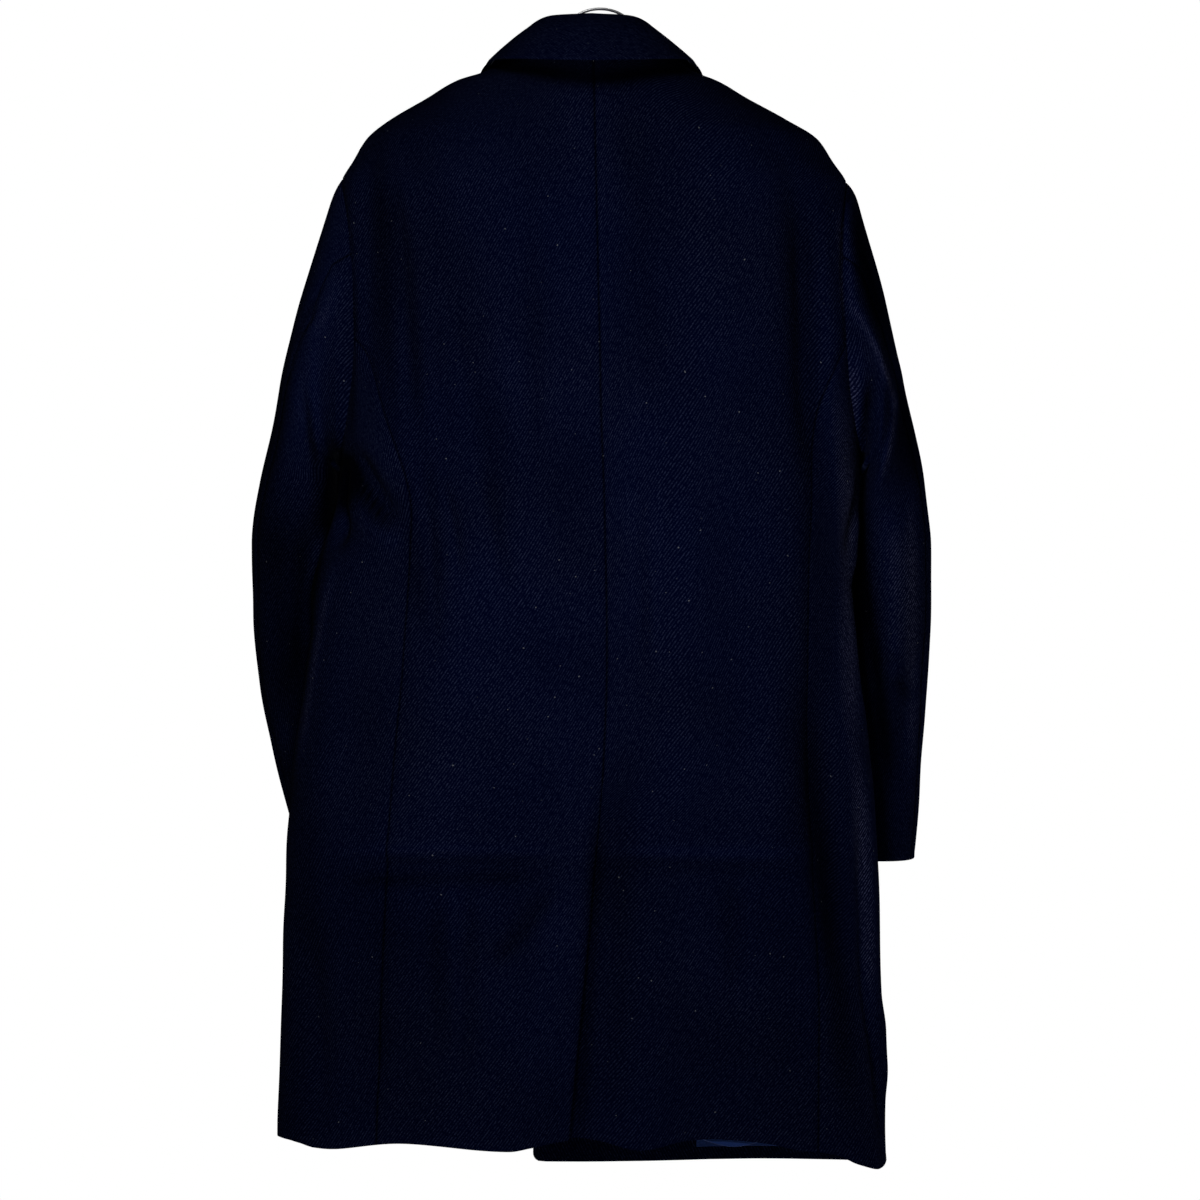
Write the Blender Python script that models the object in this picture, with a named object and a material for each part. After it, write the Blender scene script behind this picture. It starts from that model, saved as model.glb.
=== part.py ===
"""A knee-length wool duster coat hanging on a coat hanger.

The frame: the origin is where a rail bears on the hanger's hook, +Z is up, the wearer faces +Y and
the wearer's right is +X. Every size is in metres.

The body cloth is one surface, torso(girth, height), that the back, side and front panels are cut from
along seam lines. Each sleeve is a tube of rings between the armhole and the cuff, and the collar is a
folded band around the neckline. A panel is the outer face of its cloth with a wall of even thickness.
"""

import math

import bmesh
import bpy
import numpy as np
from mathutils import Matrix, Vector

# Cloth and seams
WALL = 0.0024
COLLAR_WALL = 0.0030
LINING_WALL = 0.0010
SEAM_GAP = 0.0005
LAYER_GAP = 0.0008

# Levels on the body
NECK = -0.046
HEM = -1.020
BACK_NECK_DROP = 0.006
NECK_DROP_REACH = 0.080
HEM_DROP_REACH = 0.200
LINING_TOP = -0.530
LINING_GAP = 0.0060
LINING_SEWN = 0.0012
LINING_SHORT_OF_HEM = 0.012
LINING_EASE_RUN = 0.050
LINING_FROM, LINING_TO = 0.085, 0.880
LINING_LAP = 0.004
UPPER_LINING_TOP = -0.060
UPPER_LINING_INSET = 0.020
UPPER_LINING_REACH = 0.430

# Vent and front closure
VENT_TOP = -0.690
VENT_UNDERLAP = 0.045
VENT_SLANT = 0.035
VENT_LEAD = 0.040
BUTTON_STAND = 0.040
LAYER_DIVE = WALL + LAYER_GAP
DIVE_FULL = 0.034
DIVE_RUN = 0.050
FRONT_DIVE_FROM, FRONT_DIVE_TO = -0.210, -0.270

# Buttons and hanger
BUTTON_RADIUS = 0.0115
BUTTON_THICK = 0.0042
BUTTON_BEVEL = 0.0010
BUTTON_SIDES = 20
BUTTON_HEIGHTS = (-0.395, -0.515, -0.635)
HANGER_THICK = 0.016
HANGER_DEEP = 0.030
HOOK_WIRE = 0.0013
HOOK_HALF_WIDTH = 0.032
HOOK_HALF_HEIGHT = 0.025
HANGER_CENTRE = -0.058
HANGER_EDGE = 0.005
HANGER_GAP = 0.0019
HANGER_ARM_LOW, HANGER_ARM_HIGH = -0.112, -0.051
HANGER_ARM_POINTS, HANGER_CENTRE_POINTS = 7, 9
HANGER_TAPER = 0.35
HOOK_FROM, HOOK_TO = -90, 205
HOOK_POINTS, HOOK_BEND_POINTS = 30, 3

# Rows and columns of the panels. NUDGE is the step for slopes, in a surface's own coordinates.
NUDGE = 1e-4
BACK_ROWS = ((-0.860, 7), (-0.725, 2), (VENT_TOP, 1), (-0.650, 4), (-0.510, 3), (-0.450, 3))
FRONT_ROWS = ((-0.860, 4), (-0.700, 5), (-0.540, 7))
ARCH_ROWS = 13
SHOULDER_ROW = -0.117
BACK_COLUMNS, FRONT_COLUMNS, LAPEL_COLUMNS = 9, 8, 6
LINING_COLUMNS, UPPER_LINING_COLUMNS = 17, 13
TOP_COLUMNS, UNDER_COLUMNS = 11, 12
COLLAR_COLUMNS, COLLAR_ROWS = 23, 15
CLOSE_TURN = math.radians(5.0)

# Collar seam and fold
COLLAR_CLEAR = 0.0014
CORNER_CLEAR = 0.0046
CORNER_AT, CORNER_RUN = 1.05, 0.15
FALL_BELLY = 0.0032

BACK_SIDE, FRONT_SIDE = 1, -1
LEFT, RIGHT = -1, 1
NAMES = {LEFT: "left", RIGHT: "right"}


class Table:
    """Rows of named columns, read as smooth curves over the first column."""

    def __init__(self, columns, rows):
        self.columns = columns.split()
        self.rows = np.array(sorted(rows), float)

    def at(self, column, where):
        """Shape-keeping cubic through the rows, level beyond both ends."""
        x = self.rows[:, 0]
        y = self.rows[:, self.columns.index(column)]
        where = np.clip(np.asarray(where, float), x[0], x[-1])
        step = np.diff(x)
        rise = np.diff(y) / step
        slope = np.concatenate([rise[:1], np.zeros(len(x) - 2), rise[-1:]])
        same = rise[:-1] * rise[1:] > 0
        near, far = 2 * step[1:] + step[:-1], step[1:] + 2 * step[:-1]
        safe = np.where(same[:, None], np.stack([rise[:-1], rise[1:]], 1), 1.0)
        mean = (near + far) / (near / safe[:, 0] + far / safe[:, 1])
        slope[1:-1] = np.where(same, mean, 0.0)
        i = np.clip(np.searchsorted(x, where) - 1, 0, len(x) - 2)
        t = (where - x[i]) / step[i]
        return (
            y[i] * (1 + 2 * t) * (1 - t) ** 2
            + slope[i] * step[i] * t * (1 - t) ** 2
            + y[i + 1] * t * t * (3 - 2 * t)
            + slope[i + 1] * step[i] * t * t * (t - 1)
        )


# Level sections of the body: a super-ellipse with its own depth to the back and to the front.
TORSO = Table(
    "height centre_x half_width back front squareness",
    (
        (-0.046, -0.008, 0.078, 0.066, 0.058, 2.0),
        (-0.057, -0.010, 0.098, 0.076, 0.062, 2.0),
        (-0.064, -0.011, 0.118, 0.082, 0.066, 2.0),
        (-0.081, -0.011, 0.147, 0.090, 0.072, 2.0),
        (-0.099, -0.0105, 0.1783, 0.095, 0.078, 2.0),
        (-0.117, -0.0077, 0.2032, 0.099, 0.082, 2.1),
        (-0.135, -0.0070, 0.2148, 0.102, 0.085, 2.1),
        (-0.160, -0.0058, 0.2285, 0.104, 0.088, 2.2),
        (-0.300, -0.001, 0.232, 0.106, 0.090, 2.2),
        (-0.400, 0.000, 0.232, 0.104, 0.089, 2.2),
        (-0.430, -0.001, 0.2345, 0.103, 0.088, 2.2),
        (-0.460, -0.004, 0.2345, 0.102, 0.087, 2.2),
        (-0.522, -0.014, 0.240, 0.099, 0.083, 2.2),
        (-0.592, -0.017, 0.248, 0.097, 0.078, 2.2),
        (-0.716, -0.016, 0.263, 0.094, 0.072, 2.3),
        (-0.890, -0.016, 0.270, 0.087, 0.068, 2.4),
        (-1.020, -0.0155, 0.2745, 0.082, 0.066, 2.5),
    ),
)

# Where the back's three seams lie across it. Above the armhole the side seams run off its edge.
BACK_SEAMS = Table(
    "height centre left right",
    (
        (-0.046, -0.006, -0.240, 0.240),
        (-0.270, -0.001, -0.235, 0.235),
        (-0.311, 0.000, -0.211, 0.214),
        (-0.368, 0.001, -0.190, 0.196),
        (-0.453, 0.004, -0.166, 0.186),
        (-0.577, 0.006, -0.172, 0.183),
        (-0.690, 0.002, -0.182, 0.187),
        (-0.760, -0.004, -0.186, 0.189),
        (-0.880, -0.013, -0.192, 0.193),
        (-1.020, -0.024, -0.197, 0.192),
    ),
)

# The front edge of the cloth, measured from the front's centre towards the wearer's other side.
FRONT_EDGE = Table(
    "height past_centre",
    (
        (-0.046, -0.076),
        (-0.064, -0.083),
        (-0.081, -0.083),
        (-0.100, -0.079),
        (-0.135, -0.067),
        (-0.200, -0.042),
        (-0.300, 0.004),
        (-0.370, 0.040),
        (-1.020, 0.046),
    ),
)

# The hem's real level, around the body from the front on the left, over the back, to the front.
HEM_LINE = Table(
    "girth level",
    (
        (-1.00, -1.029),
        (-0.70, -1.024),
        (-0.50, -1.0125),
        (-0.42, -1.0165),
        (-0.30, -1.0105),
        (-0.13, -1.0150),
        (-0.03, -1.006),
        (0.05, -1.007),
        (0.11, -1.014),
        (0.17, -1.008),
        (0.27, -1.013),
        (0.36, -1.019),
        (0.45, -1.037),
        (0.50, -1.040),
        (0.70, -1.044),
        (1.00, -1.046),
    ),
)

# The largest folds of the body cloth: a ridge is positive. The line of each one passes through girth
# at its middle height and leans by so much girth over its length.
BODY_FOLDS = Table(
    "girth middle length width depth lean",
    (
        (-0.420, -0.445, 0.100, 0.032, -0.012, -0.080),
        (-0.470, -0.500, 0.130, 0.040, 0.005, -0.020),
        (-0.330, -0.250, 0.300, 0.035, -0.005, 0.020),
        (-0.200, -0.360, 0.460, 0.040, -0.005, -0.090),
        (-0.160, -0.900, 0.160, 0.030, -0.006, 0.060),
        (-0.070, -0.560, 0.220, 0.025, 0.003, 0.010),
        (0.090, -0.600, 0.240, 0.022, -0.004, 0.000),
        (0.170, -0.880, 0.330, 0.040, 0.004, 0.000),
        (0.270, -0.260, 0.340, 0.030, -0.006, 0.000),
        (0.385, -0.860, 0.420, 0.028, -0.009, -0.060),
        (0.435, -0.450, 0.100, 0.030, -0.006, 0.050),
        (0.460, -0.480, 0.080, 0.030, 0.005, 0.020),
        (0.480, -0.960, 0.140, 0.035, -0.006, 0.040),
        (0.760, -0.650, 0.560, 0.045, -0.005, 0.020),
        (-0.760, -0.650, 0.560, 0.045, -0.005, -0.020),
    ),
)
BAND_CREASE = -0.757
BAND_DEPTH = 0.0035
BAND_ABOVE = 0.090
BAND_BELOW = 0.022

# Each armhole: its top and bottom, and how far it reaches to the back and to the front.
ARMHOLES = {
    LEFT: {"top": -0.152, "bottom": -0.396, "back": 0.041, "front": 0.043},
    RIGHT: {"top": -0.160, "bottom": -0.398, "back": 0.041, "front": 0.043},
}
ARMHOLE_SQUARENESS = 2.2
SIDE_FRONT_SEAM = 0.640

# Rings of each sleeve after the armhole: the ring's outer and inner end seen from the back, and its
# middle and half depth from back to front.
SLEEVE_COLUMNS = "ring outer_x outer_z inner_x inner_z middle_y half_depth"
SLEEVES = {
    LEFT: Table(
        SLEEVE_COLUMNS,
        (
            (1, -0.2463, -0.185, -0.2385, -0.3915, 0.000, 0.050),
            (2, -0.2623, -0.235, -0.2420, -0.3930, 0.002, 0.060),
            (3, -0.2774, -0.282, -0.2390, -0.3965, 0.010, 0.067),
            (4, -0.2884, -0.325, -0.2350, -0.4035, 0.023, 0.071),
            (5, -0.2994, -0.380, -0.2350, -0.4235, 0.043, 0.073),
            (6, -0.3114, -0.425, -0.2350, -0.4520, 0.062, 0.074),
            (7, -0.3234, -0.480, -0.2400, -0.4950, 0.077, 0.074),
            (8, -0.3226, -0.545, -0.2440, -0.5530, 0.085, 0.072),
            (9, -0.3168, -0.610, -0.2420, -0.6160, 0.098, 0.068),
            (10, -0.3063, -0.665, -0.2330, -0.6690, 0.108, 0.064),
            (11, -0.2941, -0.720, -0.2190, -0.7230, 0.114, 0.060),
            (12, -0.2797, -0.772, -0.2070, -0.7740, 0.117, 0.058),
        ),
    ),
    RIGHT: Table(
        SLEEVE_COLUMNS,
        (
            (1, 0.2365, -0.188, 0.2385, -0.3935, 0.000, 0.050),
            (2, 0.2510, -0.235, 0.2415, -0.3950, 0.002, 0.060),
            (3, 0.2624, -0.280, 0.2390, -0.3985, 0.010, 0.067),
            (4, 0.2734, -0.325, 0.2350, -0.4055, 0.023, 0.071),
            (5, 0.2865, -0.378, 0.2335, -0.4255, 0.043, 0.073),
            (6, 0.2969, -0.425, 0.2280, -0.4540, 0.060, 0.074),
            (7, 0.3055, -0.480, 0.2185, -0.4950, 0.073, 0.074),
            (8, 0.3067, -0.545, 0.2180, -0.5530, 0.080, 0.072),
            (9, 0.3043, -0.610, 0.2200, -0.6160, 0.088, 0.068),
            (10, 0.3004, -0.665, 0.2220, -0.6690, 0.094, 0.064),
            (11, 0.2968, -0.720, 0.2210, -0.7230, 0.098, 0.060),
            (12, 0.2918, -0.772, 0.2200, -0.7740, 0.100, 0.058),
        ),
    ),
}
SLEEVE_SQUARENESS = 2.1
SLEEVE_RINGS = (0, 0.3, 0.7, 1.2, 1.8, 2.4, 3.0, 3.6, 4.3, 5.0, 5.7, 6.4, 7.2, 8.0, 9.0, 10.0, 11.0, 12.0)
ARMHOLE_GAP = 0.0009
SLEEVE_HEAD = 0.0040
HEAD_PEAK = 27 / 4
TURN_GAP = math.radians(0.40)
ARMHOLE_BLEND = 2.5
SEAM_TURN = Table(
    "ring elbow inside",
    ((0, 66.0, 235.0), (5, 45.0, 240.0), (8, 36.0, 245.0), (12, 32.0, 245.0)),
)
# The largest folds of each sleeve, by the turn around the ring from its outer end over the back.
SLEEVE_FOLDS = {
    LEFT: Table(
        "turn middle length width depth lean",
        (
            (60.0, 5.0, 5.0, 16.0, 0.004, -18.0),
            (100.0, 4.6, 3.4, 15.0, -0.007, 20.0),
            (135.0, 5.2, 3.2, 16.0, 0.006, 16.0),
            (75.0, 8.6, 4.0, 18.0, -0.005, -14.0),
            (285.0, 6.5, 5.0, 20.0, -0.004, 15.0),
        ),
    ),
    RIGHT: Table(
        "turn middle length width depth lean",
        (
            (68.0, 4.2, 4.0, 13.0, -0.007, 14.0),
            (105.0, 4.6, 3.6, 15.0, 0.007, 10.0),
            (140.0, 5.4, 3.0, 14.0, -0.006, 10.0),
            (80.0, 7.9, 3.6, 18.0, 0.005, -16.0),
            (60.0, 9.4, 2.6, 16.0, -0.005, 20.0),
            (285.0, 6.5, 5.0, 20.0, -0.004, -15.0),
        ),
    ),
}

# Half of the collar, from the centre back (along 0) past the shoulder seam (along 1) to its front end
# (along 2): its fold and the edge of its fall, measured from the neck's centre.
NECK_CENTRE = -0.008
COLLAR = Table(
    "along fold_x fold_y fold_z edge_x edge_y edge_z",
    (
        (0.00, 0.000, -0.0640, -0.0185, 0.000, -0.0900, -0.0600),
        (0.30, 0.034, -0.0565, -0.0190, 0.041, -0.0850, -0.0585),
        (0.57, 0.052, -0.0390, -0.0225, 0.074, -0.0660, -0.0545),
        (0.80, 0.062, -0.0110, -0.0300, 0.090, -0.0280, -0.0500),
        (1.00, 0.064, 0.0150, -0.0345, 0.096, 0.0120, -0.0500),
        (1.40, 0.073, 0.0450, -0.0560, 0.107, 0.0500, -0.0690),
        (1.70, 0.076, 0.0620, -0.0740, 0.110, 0.0730, -0.0940),
        (2.00, 0.073, 0.0740, -0.0900, 0.103, 0.0850, -0.1160),
    ),
)
COLLAR_END = -0.098
FOLD_RADIUS = 0.0036

# The lapel's width from the front edge, between its tip and the break.
LAPEL_WIDTH = Table(
    "height width",
    (
        (-0.112, 0.066),
        (-0.124, 0.092),
        (-0.160, 0.083),
        (-0.200, 0.074),
        (-0.250, 0.060),
        (-0.300, 0.040),
        (-0.340, 0.022),
        (-0.362, 0.010),
    ),
)
LAPEL_TOP = -0.112
LAPEL_BOTTOM = {LEFT: -0.362, RIGHT: -0.280}


def step(value, low, high):
    """0 below low, 1 above high and a smooth rise between."""
    t = np.clip((value - low) / (high - low), 0.0, 1.0)
    return t * t * (3 - 2 * t)


def folds(table, across, along):
    """Sum of a table's folds where across is girth or turn and along is height or ring."""
    place, middle, length, width, depth, lean = table.rows.T
    run = (np.asarray(along)[..., None] - middle) / length
    off = (np.asarray(across)[..., None] - place - lean * run) / width
    ends = 1 - step(np.abs(run), 0.15, 0.5)
    return (depth * np.exp(-off * off) * ends).sum(axis=-1)


def section(height):
    """The body section's numbers at a height."""
    return [TORSO.at(name, height) for name in TORSO.columns[1:]]


def body_line(girth, height):
    """Points of the body cloth's outer face.

    Girth runs in half turns from the centre back, + to the wearer's right; height is the level before
    the neckline and the hem bend it.
    """
    centre, half_width, back, front, square = section(height)
    sine, cosine = np.sin(girth * math.pi), np.cos(girth * math.pi)
    size = (np.abs(sine) ** square + np.abs(cosine) ** square) ** (-1 / square)
    across, along = sine * size, -cosine * size
    depth = np.where(cosine > 0, back, front)
    facing_x = np.sign(across) * np.abs(across) ** (square - 1) / half_width
    facing_y = np.sign(along) * np.abs(along) ** (square - 1) / depth
    facing = np.hypot(facing_x, facing_y)
    above = np.exp(-np.maximum(height - BAND_CREASE, 0) / BAND_ABOVE)
    below = np.exp(-np.maximum(BAND_CREASE - height, 0) / BAND_BELOW)
    band = BAND_DEPTH * above * below * step(cosine, 0.2, 0.6)
    swell = folds(BODY_FOLDS, girth, height) + band
    neck = BACK_NECK_DROP * step(height, NECK - NECK_DROP_REACH, NECK) * np.maximum(cosine, 0)
    hem = (HEM_LINE.at("level", girth) - HEM) * step(-height, -HEM - HEM_DROP_REACH, -HEM)
    x = centre + half_width * across + swell * facing_x / facing
    y = depth * along + swell * facing_y / facing
    return np.stack([x, y, height - neck + hem], axis=-1)


def moved(surface, first, second, ends, out):
    """Points of surface(first, second) moved out along its normal; second stays between its ends."""
    first, second, out = np.broadcast_arrays(first, second, out)
    low, high = np.maximum(second - NUDGE, ends[0]), np.minimum(second + NUDGE, ends[1])
    around = surface(first + NUDGE, second) - surface(first - NUDGE, second)
    up = surface(first, high) - surface(first, low)
    normal = np.cross(around, up)
    normal /= np.linalg.norm(normal, axis=-1, keepdims=True)
    return surface(first, second) + out[..., None] * normal


def torso(girth, height, out=0.0):
    return moved(body_line, girth, height, (HEM, NECK), out)


def half_gap(girth, height):
    """Half of a seam's gap as girth."""
    run = body_line(girth + NUDGE, height) - body_line(girth - NUDGE, height)
    return SEAM_GAP / 2 * 2 * NUDGE / np.linalg.norm(run, axis=-1)


def girth_at_x(side, x, height, face):
    """The girth where the body cloth passes x, on its back or its front."""
    centre, half_width, _, _, square = section(height)
    across = np.clip(side * (x - centre) / half_width, -0.9999, 0.9999)
    along = (1 - np.abs(across) ** square) ** (1 / square)
    turn = np.arctan2(across, along) / math.pi
    return side * np.where(face == BACK_SIDE, turn, 1 - turn)


def girth_at_y(side, y, height):
    """The girth where the body cloth passes y on one side."""
    _, _, back, front, square = section(height)
    along = np.clip(np.abs(y) / np.where(y < 0, back, front), 0.0, 0.9999)
    across = (1 - along**square) ** (1 / square)
    turn = np.arctan2(across, along) / math.pi
    return side * np.where(y < 0, turn, 1 - turn)


def armhole(side, turn, inset=0.0):
    """Girth and height around the armhole: turn 0 is its top, a quarter turn its back edge."""
    hole = ARMHOLES[side]
    sine, cosine = np.sin(turn), np.cos(turn)
    size = (np.abs(sine) ** ARMHOLE_SQUARENESS + np.abs(cosine) ** ARMHOLE_SQUARENESS) ** (
        -1 / ARMHOLE_SQUARENESS
    )
    reach = np.where(sine > 0, hole["back"], hole["front"]) - inset
    middle, half = (hole["top"] + hole["bottom"]) / 2, (hole["top"] - hole["bottom"]) / 2
    height = middle + (half - inset) * cosine * size
    return girth_at_y(side, -reach * sine * size, height), height


def armhole_edge(side, height, face):
    """The girth of the armhole's back or front edge at a height, and half a turn outside it."""
    hole = ARMHOLES[side]
    middle, half = (hole["top"] + hole["bottom"]) / 2, (hole["top"] - hole["bottom"]) / 2
    off = np.clip(np.abs(height - middle) / half, 0.0, 1.0)
    reach = hole["back"] if face == BACK_SIDE else hole["front"]
    y = reach * (1 - off**ARMHOLE_SQUARENESS) ** (1 / ARMHOLE_SQUARENESS)
    return girth_at_y(side, -face * np.maximum(y, 1e-6), height)


def solid(name, vertices, faces, material):
    mesh = bpy.data.meshes.new(name)
    mesh.from_pydata(np.asarray(vertices).reshape(-1, 3).tolist(), [], faces)
    obj = bpy.data.objects.new(name, mesh)
    bpy.context.scene.collection.objects.link(obj)
    obj.data.materials.append(material)
    edit = bmesh.new()
    edit.from_mesh(mesh)
    bmesh.ops.recalc_face_normals(edit, faces=edit.faces)
    if edit.calc_volume(signed=True) < 0:
        bmesh.ops.reverse_faces(edit, faces=edit.faces)
    edit.to_mesh(mesh)
    edit.free()
    return obj


def wall(name, outer, inner, material):
    """A closed wall between two grids of the same shape."""
    rows, columns = outer.shape[:2]
    index = np.arange(rows * columns).reshape(rows, columns)
    far = index + rows * columns
    faces = []
    for sheet in (index, far[:, ::-1]):
        corners = (sheet[:-1, :-1], sheet[:-1, 1:], sheet[1:, 1:], sheet[1:, :-1])
        faces += np.stack(corners, axis=-1).reshape(-1, 4).tolist()
    rim = np.concatenate([index[0], index[1:, -1], index[-1, -2::-1], index[-2:0:-1, 0]])
    beside = np.roll(rim, -1)
    shift = rows * columns
    faces += np.stack([beside, rim, rim + shift, beside + shift], axis=-1).tolist()
    return solid(name, np.concatenate([outer.reshape(-1, 3), inner.reshape(-1, 3)]), faces, material)


def sheet(name, girth, height, material, out=0.0, thick=WALL):
    """A wall of body cloth whose outer face lies out from the body surface."""
    wall(name, torso(girth, height, out), torso(girth, height, out - thick), material)


def spread(first, last, count):
    """Columns between two lines of girth."""
    share = np.linspace(0.0, 1.0, count)
    return first[:, None] + (last - first)[:, None] * share


def levels(*stops):
    """Row heights through (level, rows up to the next one) stops."""
    parts = [np.linspace(a[0], b[0], a[1], endpoint=False) for a, b in zip(stops, stops[1:])]
    return np.concatenate(parts + [[stops[-1][0]]])


def arch_levels(bottom, top, count):
    """Row heights that crowd towards both ends of an armhole."""
    return (top + bottom) / 2 - (top - bottom) / 2 * np.cos(np.linspace(0, math.pi, count))


def body_levels(side, foot):
    """Row heights of a back or front panel, with one where its side seam meets the armhole."""
    hole = ARMHOLES[side]
    above = levels((hole["top"], 2), (SHOULDER_ROW, 3), (NECK, 1))
    below = levels((HEM, 5), *foot, (hole["bottom"], 1))
    corner = armhole(side, side_span(side)[0 if foot is BACK_ROWS else 1])[1]
    arch = arch_levels(hole["bottom"], hole["top"], ARCH_ROWS)
    arch[np.argmin(np.abs(arch - corner))] = corner
    return np.concatenate([below[:-1], arch, above[1:]])


def seam_x(side, height):
    return BACK_SEAMS.at(NAMES[side], height)


def back_outer(side, height):
    """The back panel's outer line: side seam, armhole, then shoulder seam."""
    hole = ARMHOLES[side]
    seam = np.abs(girth_at_x(side, seam_x(side, height), height, BACK_SIDE))
    edge = np.abs(armhole_edge(side, height, BACK_SIDE))
    below = np.where(height < hole["bottom"], seam, np.minimum(seam, edge))
    return np.where(height > hole["top"], 0.5, below)


def front_outer(side, height):
    hole = ARMHOLES[side]
    middle = (hole["top"] + hole["bottom"]) / 2
    edge = np.abs(armhole_edge(side, height, FRONT_SIDE))
    beside = np.where(height < middle, np.maximum(SIDE_FRONT_SEAM, edge), edge)
    below = np.where(height < hole["bottom"], SIDE_FRONT_SEAM, beside)
    return np.where(height > hole["top"], 0.5, below)


def front_edge(side, height):
    """The girth of a front's free edge."""
    x = TORSO.at("centre_x", height) - side * FRONT_EDGE.at("past_centre", height)
    return girth_at_x(side, x, height, FRONT_SIDE)


def back_dive(side, girth, height):
    """How far the right back steps in to pass under the left one along the vent."""
    if side == LEFT:
        return np.zeros_like(girth)
    beside = body_line(girth, height)[..., 0] - BACK_SEAMS.at("centre", height)
    across = 1 - step(beside, DIVE_FULL, DIVE_FULL + DIVE_RUN)
    return -LAYER_DIVE * across * step(-height, -VENT_TOP - VENT_LEAD, -VENT_TOP)


def front_dive(side, girth, height):
    """How far the right front steps in to pass under the left one."""
    if side == LEFT:
        return np.zeros_like(girth)
    beside = body_line(girth, height)[..., 0] - TORSO.at("centre_x", height)
    across = 1 - step(beside, BUTTON_STAND + DIVE_FULL, BUTTON_STAND + DIVE_FULL + DIVE_RUN)
    return -LAYER_DIVE * across * step(-height, -FRONT_DIVE_FROM, -FRONT_DIVE_TO)


def back_panel(side, material):
    height = body_levels(side, BACK_ROWS)
    x = BACK_SEAMS.at("centre", height)
    if side == RIGHT:
        x = x - VENT_UNDERLAP * np.clip((VENT_TOP - height) / VENT_SLANT, 0.0, 1.0)
    first = girth_at_x(side, x, height, BACK_SIDE)
    last = side * back_outer(side, height)
    first, last = first + side * half_gap(first, height), last - side * half_gap(last, height)
    girth = spread(first, last, BACK_COLUMNS)
    height = height[:, None]
    sheet(f"back_{NAMES[side]}", girth, height, material, back_dive(side, girth, height))


def side_span(side):
    """The turns around the armhole where the side panel's two seams meet it."""
    ring = np.linspace(math.pi / 2, math.pi * 3 / 2, 4000)
    edge, level = armhole(side, ring)
    seam = girth_at_x(side, seam_x(side, level), level, BACK_SIDE)
    inside = (np.abs(edge) > np.abs(seam)) & (np.abs(edge) < SIDE_FRONT_SEAM)
    return ring[inside][0], ring[inside][-1]


def side_turns(side):
    """The side panel's columns at the armhole, at the under sleeve's own columns between its seams."""
    first, last = side_span(side)
    ring = np.linspace(*np.radians(SEAM_TURN.rows[0, 1:]), UNDER_COLUMNS)
    ring = ring[(ring > first + CLOSE_TURN) & (ring < last - CLOSE_TURN)]
    return np.concatenate([[first], ring, [last]])


def side_panel(side, material):
    """The panel under the arm, whose top edge is the lower part of the armhole."""
    turn = side_turns(side)
    edge, level = armhole(side, turn)
    share = (turn - turn[0]) / (turn[-1] - turn[0])
    rows = body_levels(side, BACK_ROWS)
    seam = np.abs(girth_at_x(side, seam_x(side, rows), rows, BACK_SIDE))

    def between(height):
        first = side * np.interp(height, rows, seam)
        last = np.full_like(first, side * SIDE_FRONT_SEAM)
        first = first + side * 2 * half_gap(first, height)
        last = last - side * 2 * half_gap(last, height)
        return first + (last - first) * share

    rise = levels((0.0, 8), (0.60, 12), (1.0, 1))[:, None]
    height = HEM + (level - HEM) * rise
    pull = step(rise, 0.70, 1.0)
    girth = between(height) + pull * (edge - between(np.broadcast_to(level, height.shape)))
    sheet(f"side_{NAMES[side]}", girth, height, material)


def front_panel(side, material):
    height = body_levels(side, FRONT_ROWS)
    first = side * front_outer(side, height)
    girth = spread(first + side * half_gap(first, height), front_edge(side, height), FRONT_COLUMNS)
    height = height[:, None]
    sheet(f"front_{NAMES[side]}", girth, height, material, front_dive(side, girth, height))


def lapel(side, material):
    """The turned-back top of a front: the front's own points moved out by a layer."""
    height = levels((LAPEL_BOTTOM[side], 9), (-0.124, 1), (SHOULDER_ROW, 1), (LAPEL_TOP, 1))
    first = front_edge(side, height)
    x = TORSO.at("centre_x", height) - side * FRONT_EDGE.at("past_centre", height)
    last = girth_at_x(side, x + side * LAPEL_WIDTH.at("width", height), height, FRONT_SIDE)
    girth = spread(first, last, LAPEL_COLUMNS)
    height = height[:, None]
    out = front_dive(side, girth, height) + LAYER_GAP + WALL
    sheet(f"lapel_{NAMES[side]}", girth, height, material, out)


def lining(name, girth, height, material, dive=0.0):
    """A loose inner layer that is sewn down along its lower and upper edges and follows the cloth's dive."""
    inside = np.minimum(height - height[0], height[-1] - height)
    gap = LINING_SEWN + (LINING_GAP - LINING_SEWN) * step(inside, 0.0, LINING_EASE_RUN)
    sheet(name, girth, height[:, None], material, dive - WALL - gap[:, None], LINING_WALL)


def linings(material):
    """The lining of the skirt, left and right, and of the upper back."""
    for side in (LEFT, RIGHT):
        height = levels((HEM + LINING_SHORT_OF_HEM, 6), (-0.700, 6), (LINING_TOP, 1))
        edges = [np.full_like(height, side * end) for end in (LINING_FROM, LINING_TO)]
        girth = spread(*edges, LINING_COLUMNS)
        past_side = np.abs(girth) > SIDE_FRONT_SEAM
        dive = np.where(past_side, front_dive(side, girth, height[:, None]), 0.0)
        lining(f"lining_{NAMES[side]}", girth, height, material, dive)
    height = levels((LINING_TOP + LINING_LAP, 9), (UPPER_LINING_TOP, 1))
    edges = [
        side * np.minimum(back_outer(side, height) - UPPER_LINING_INSET, UPPER_LINING_REACH)
        for side in (LEFT, RIGHT)
    ]
    lining("lining_back", spread(*edges, UPPER_LINING_COLUMNS), height, material)


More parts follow.
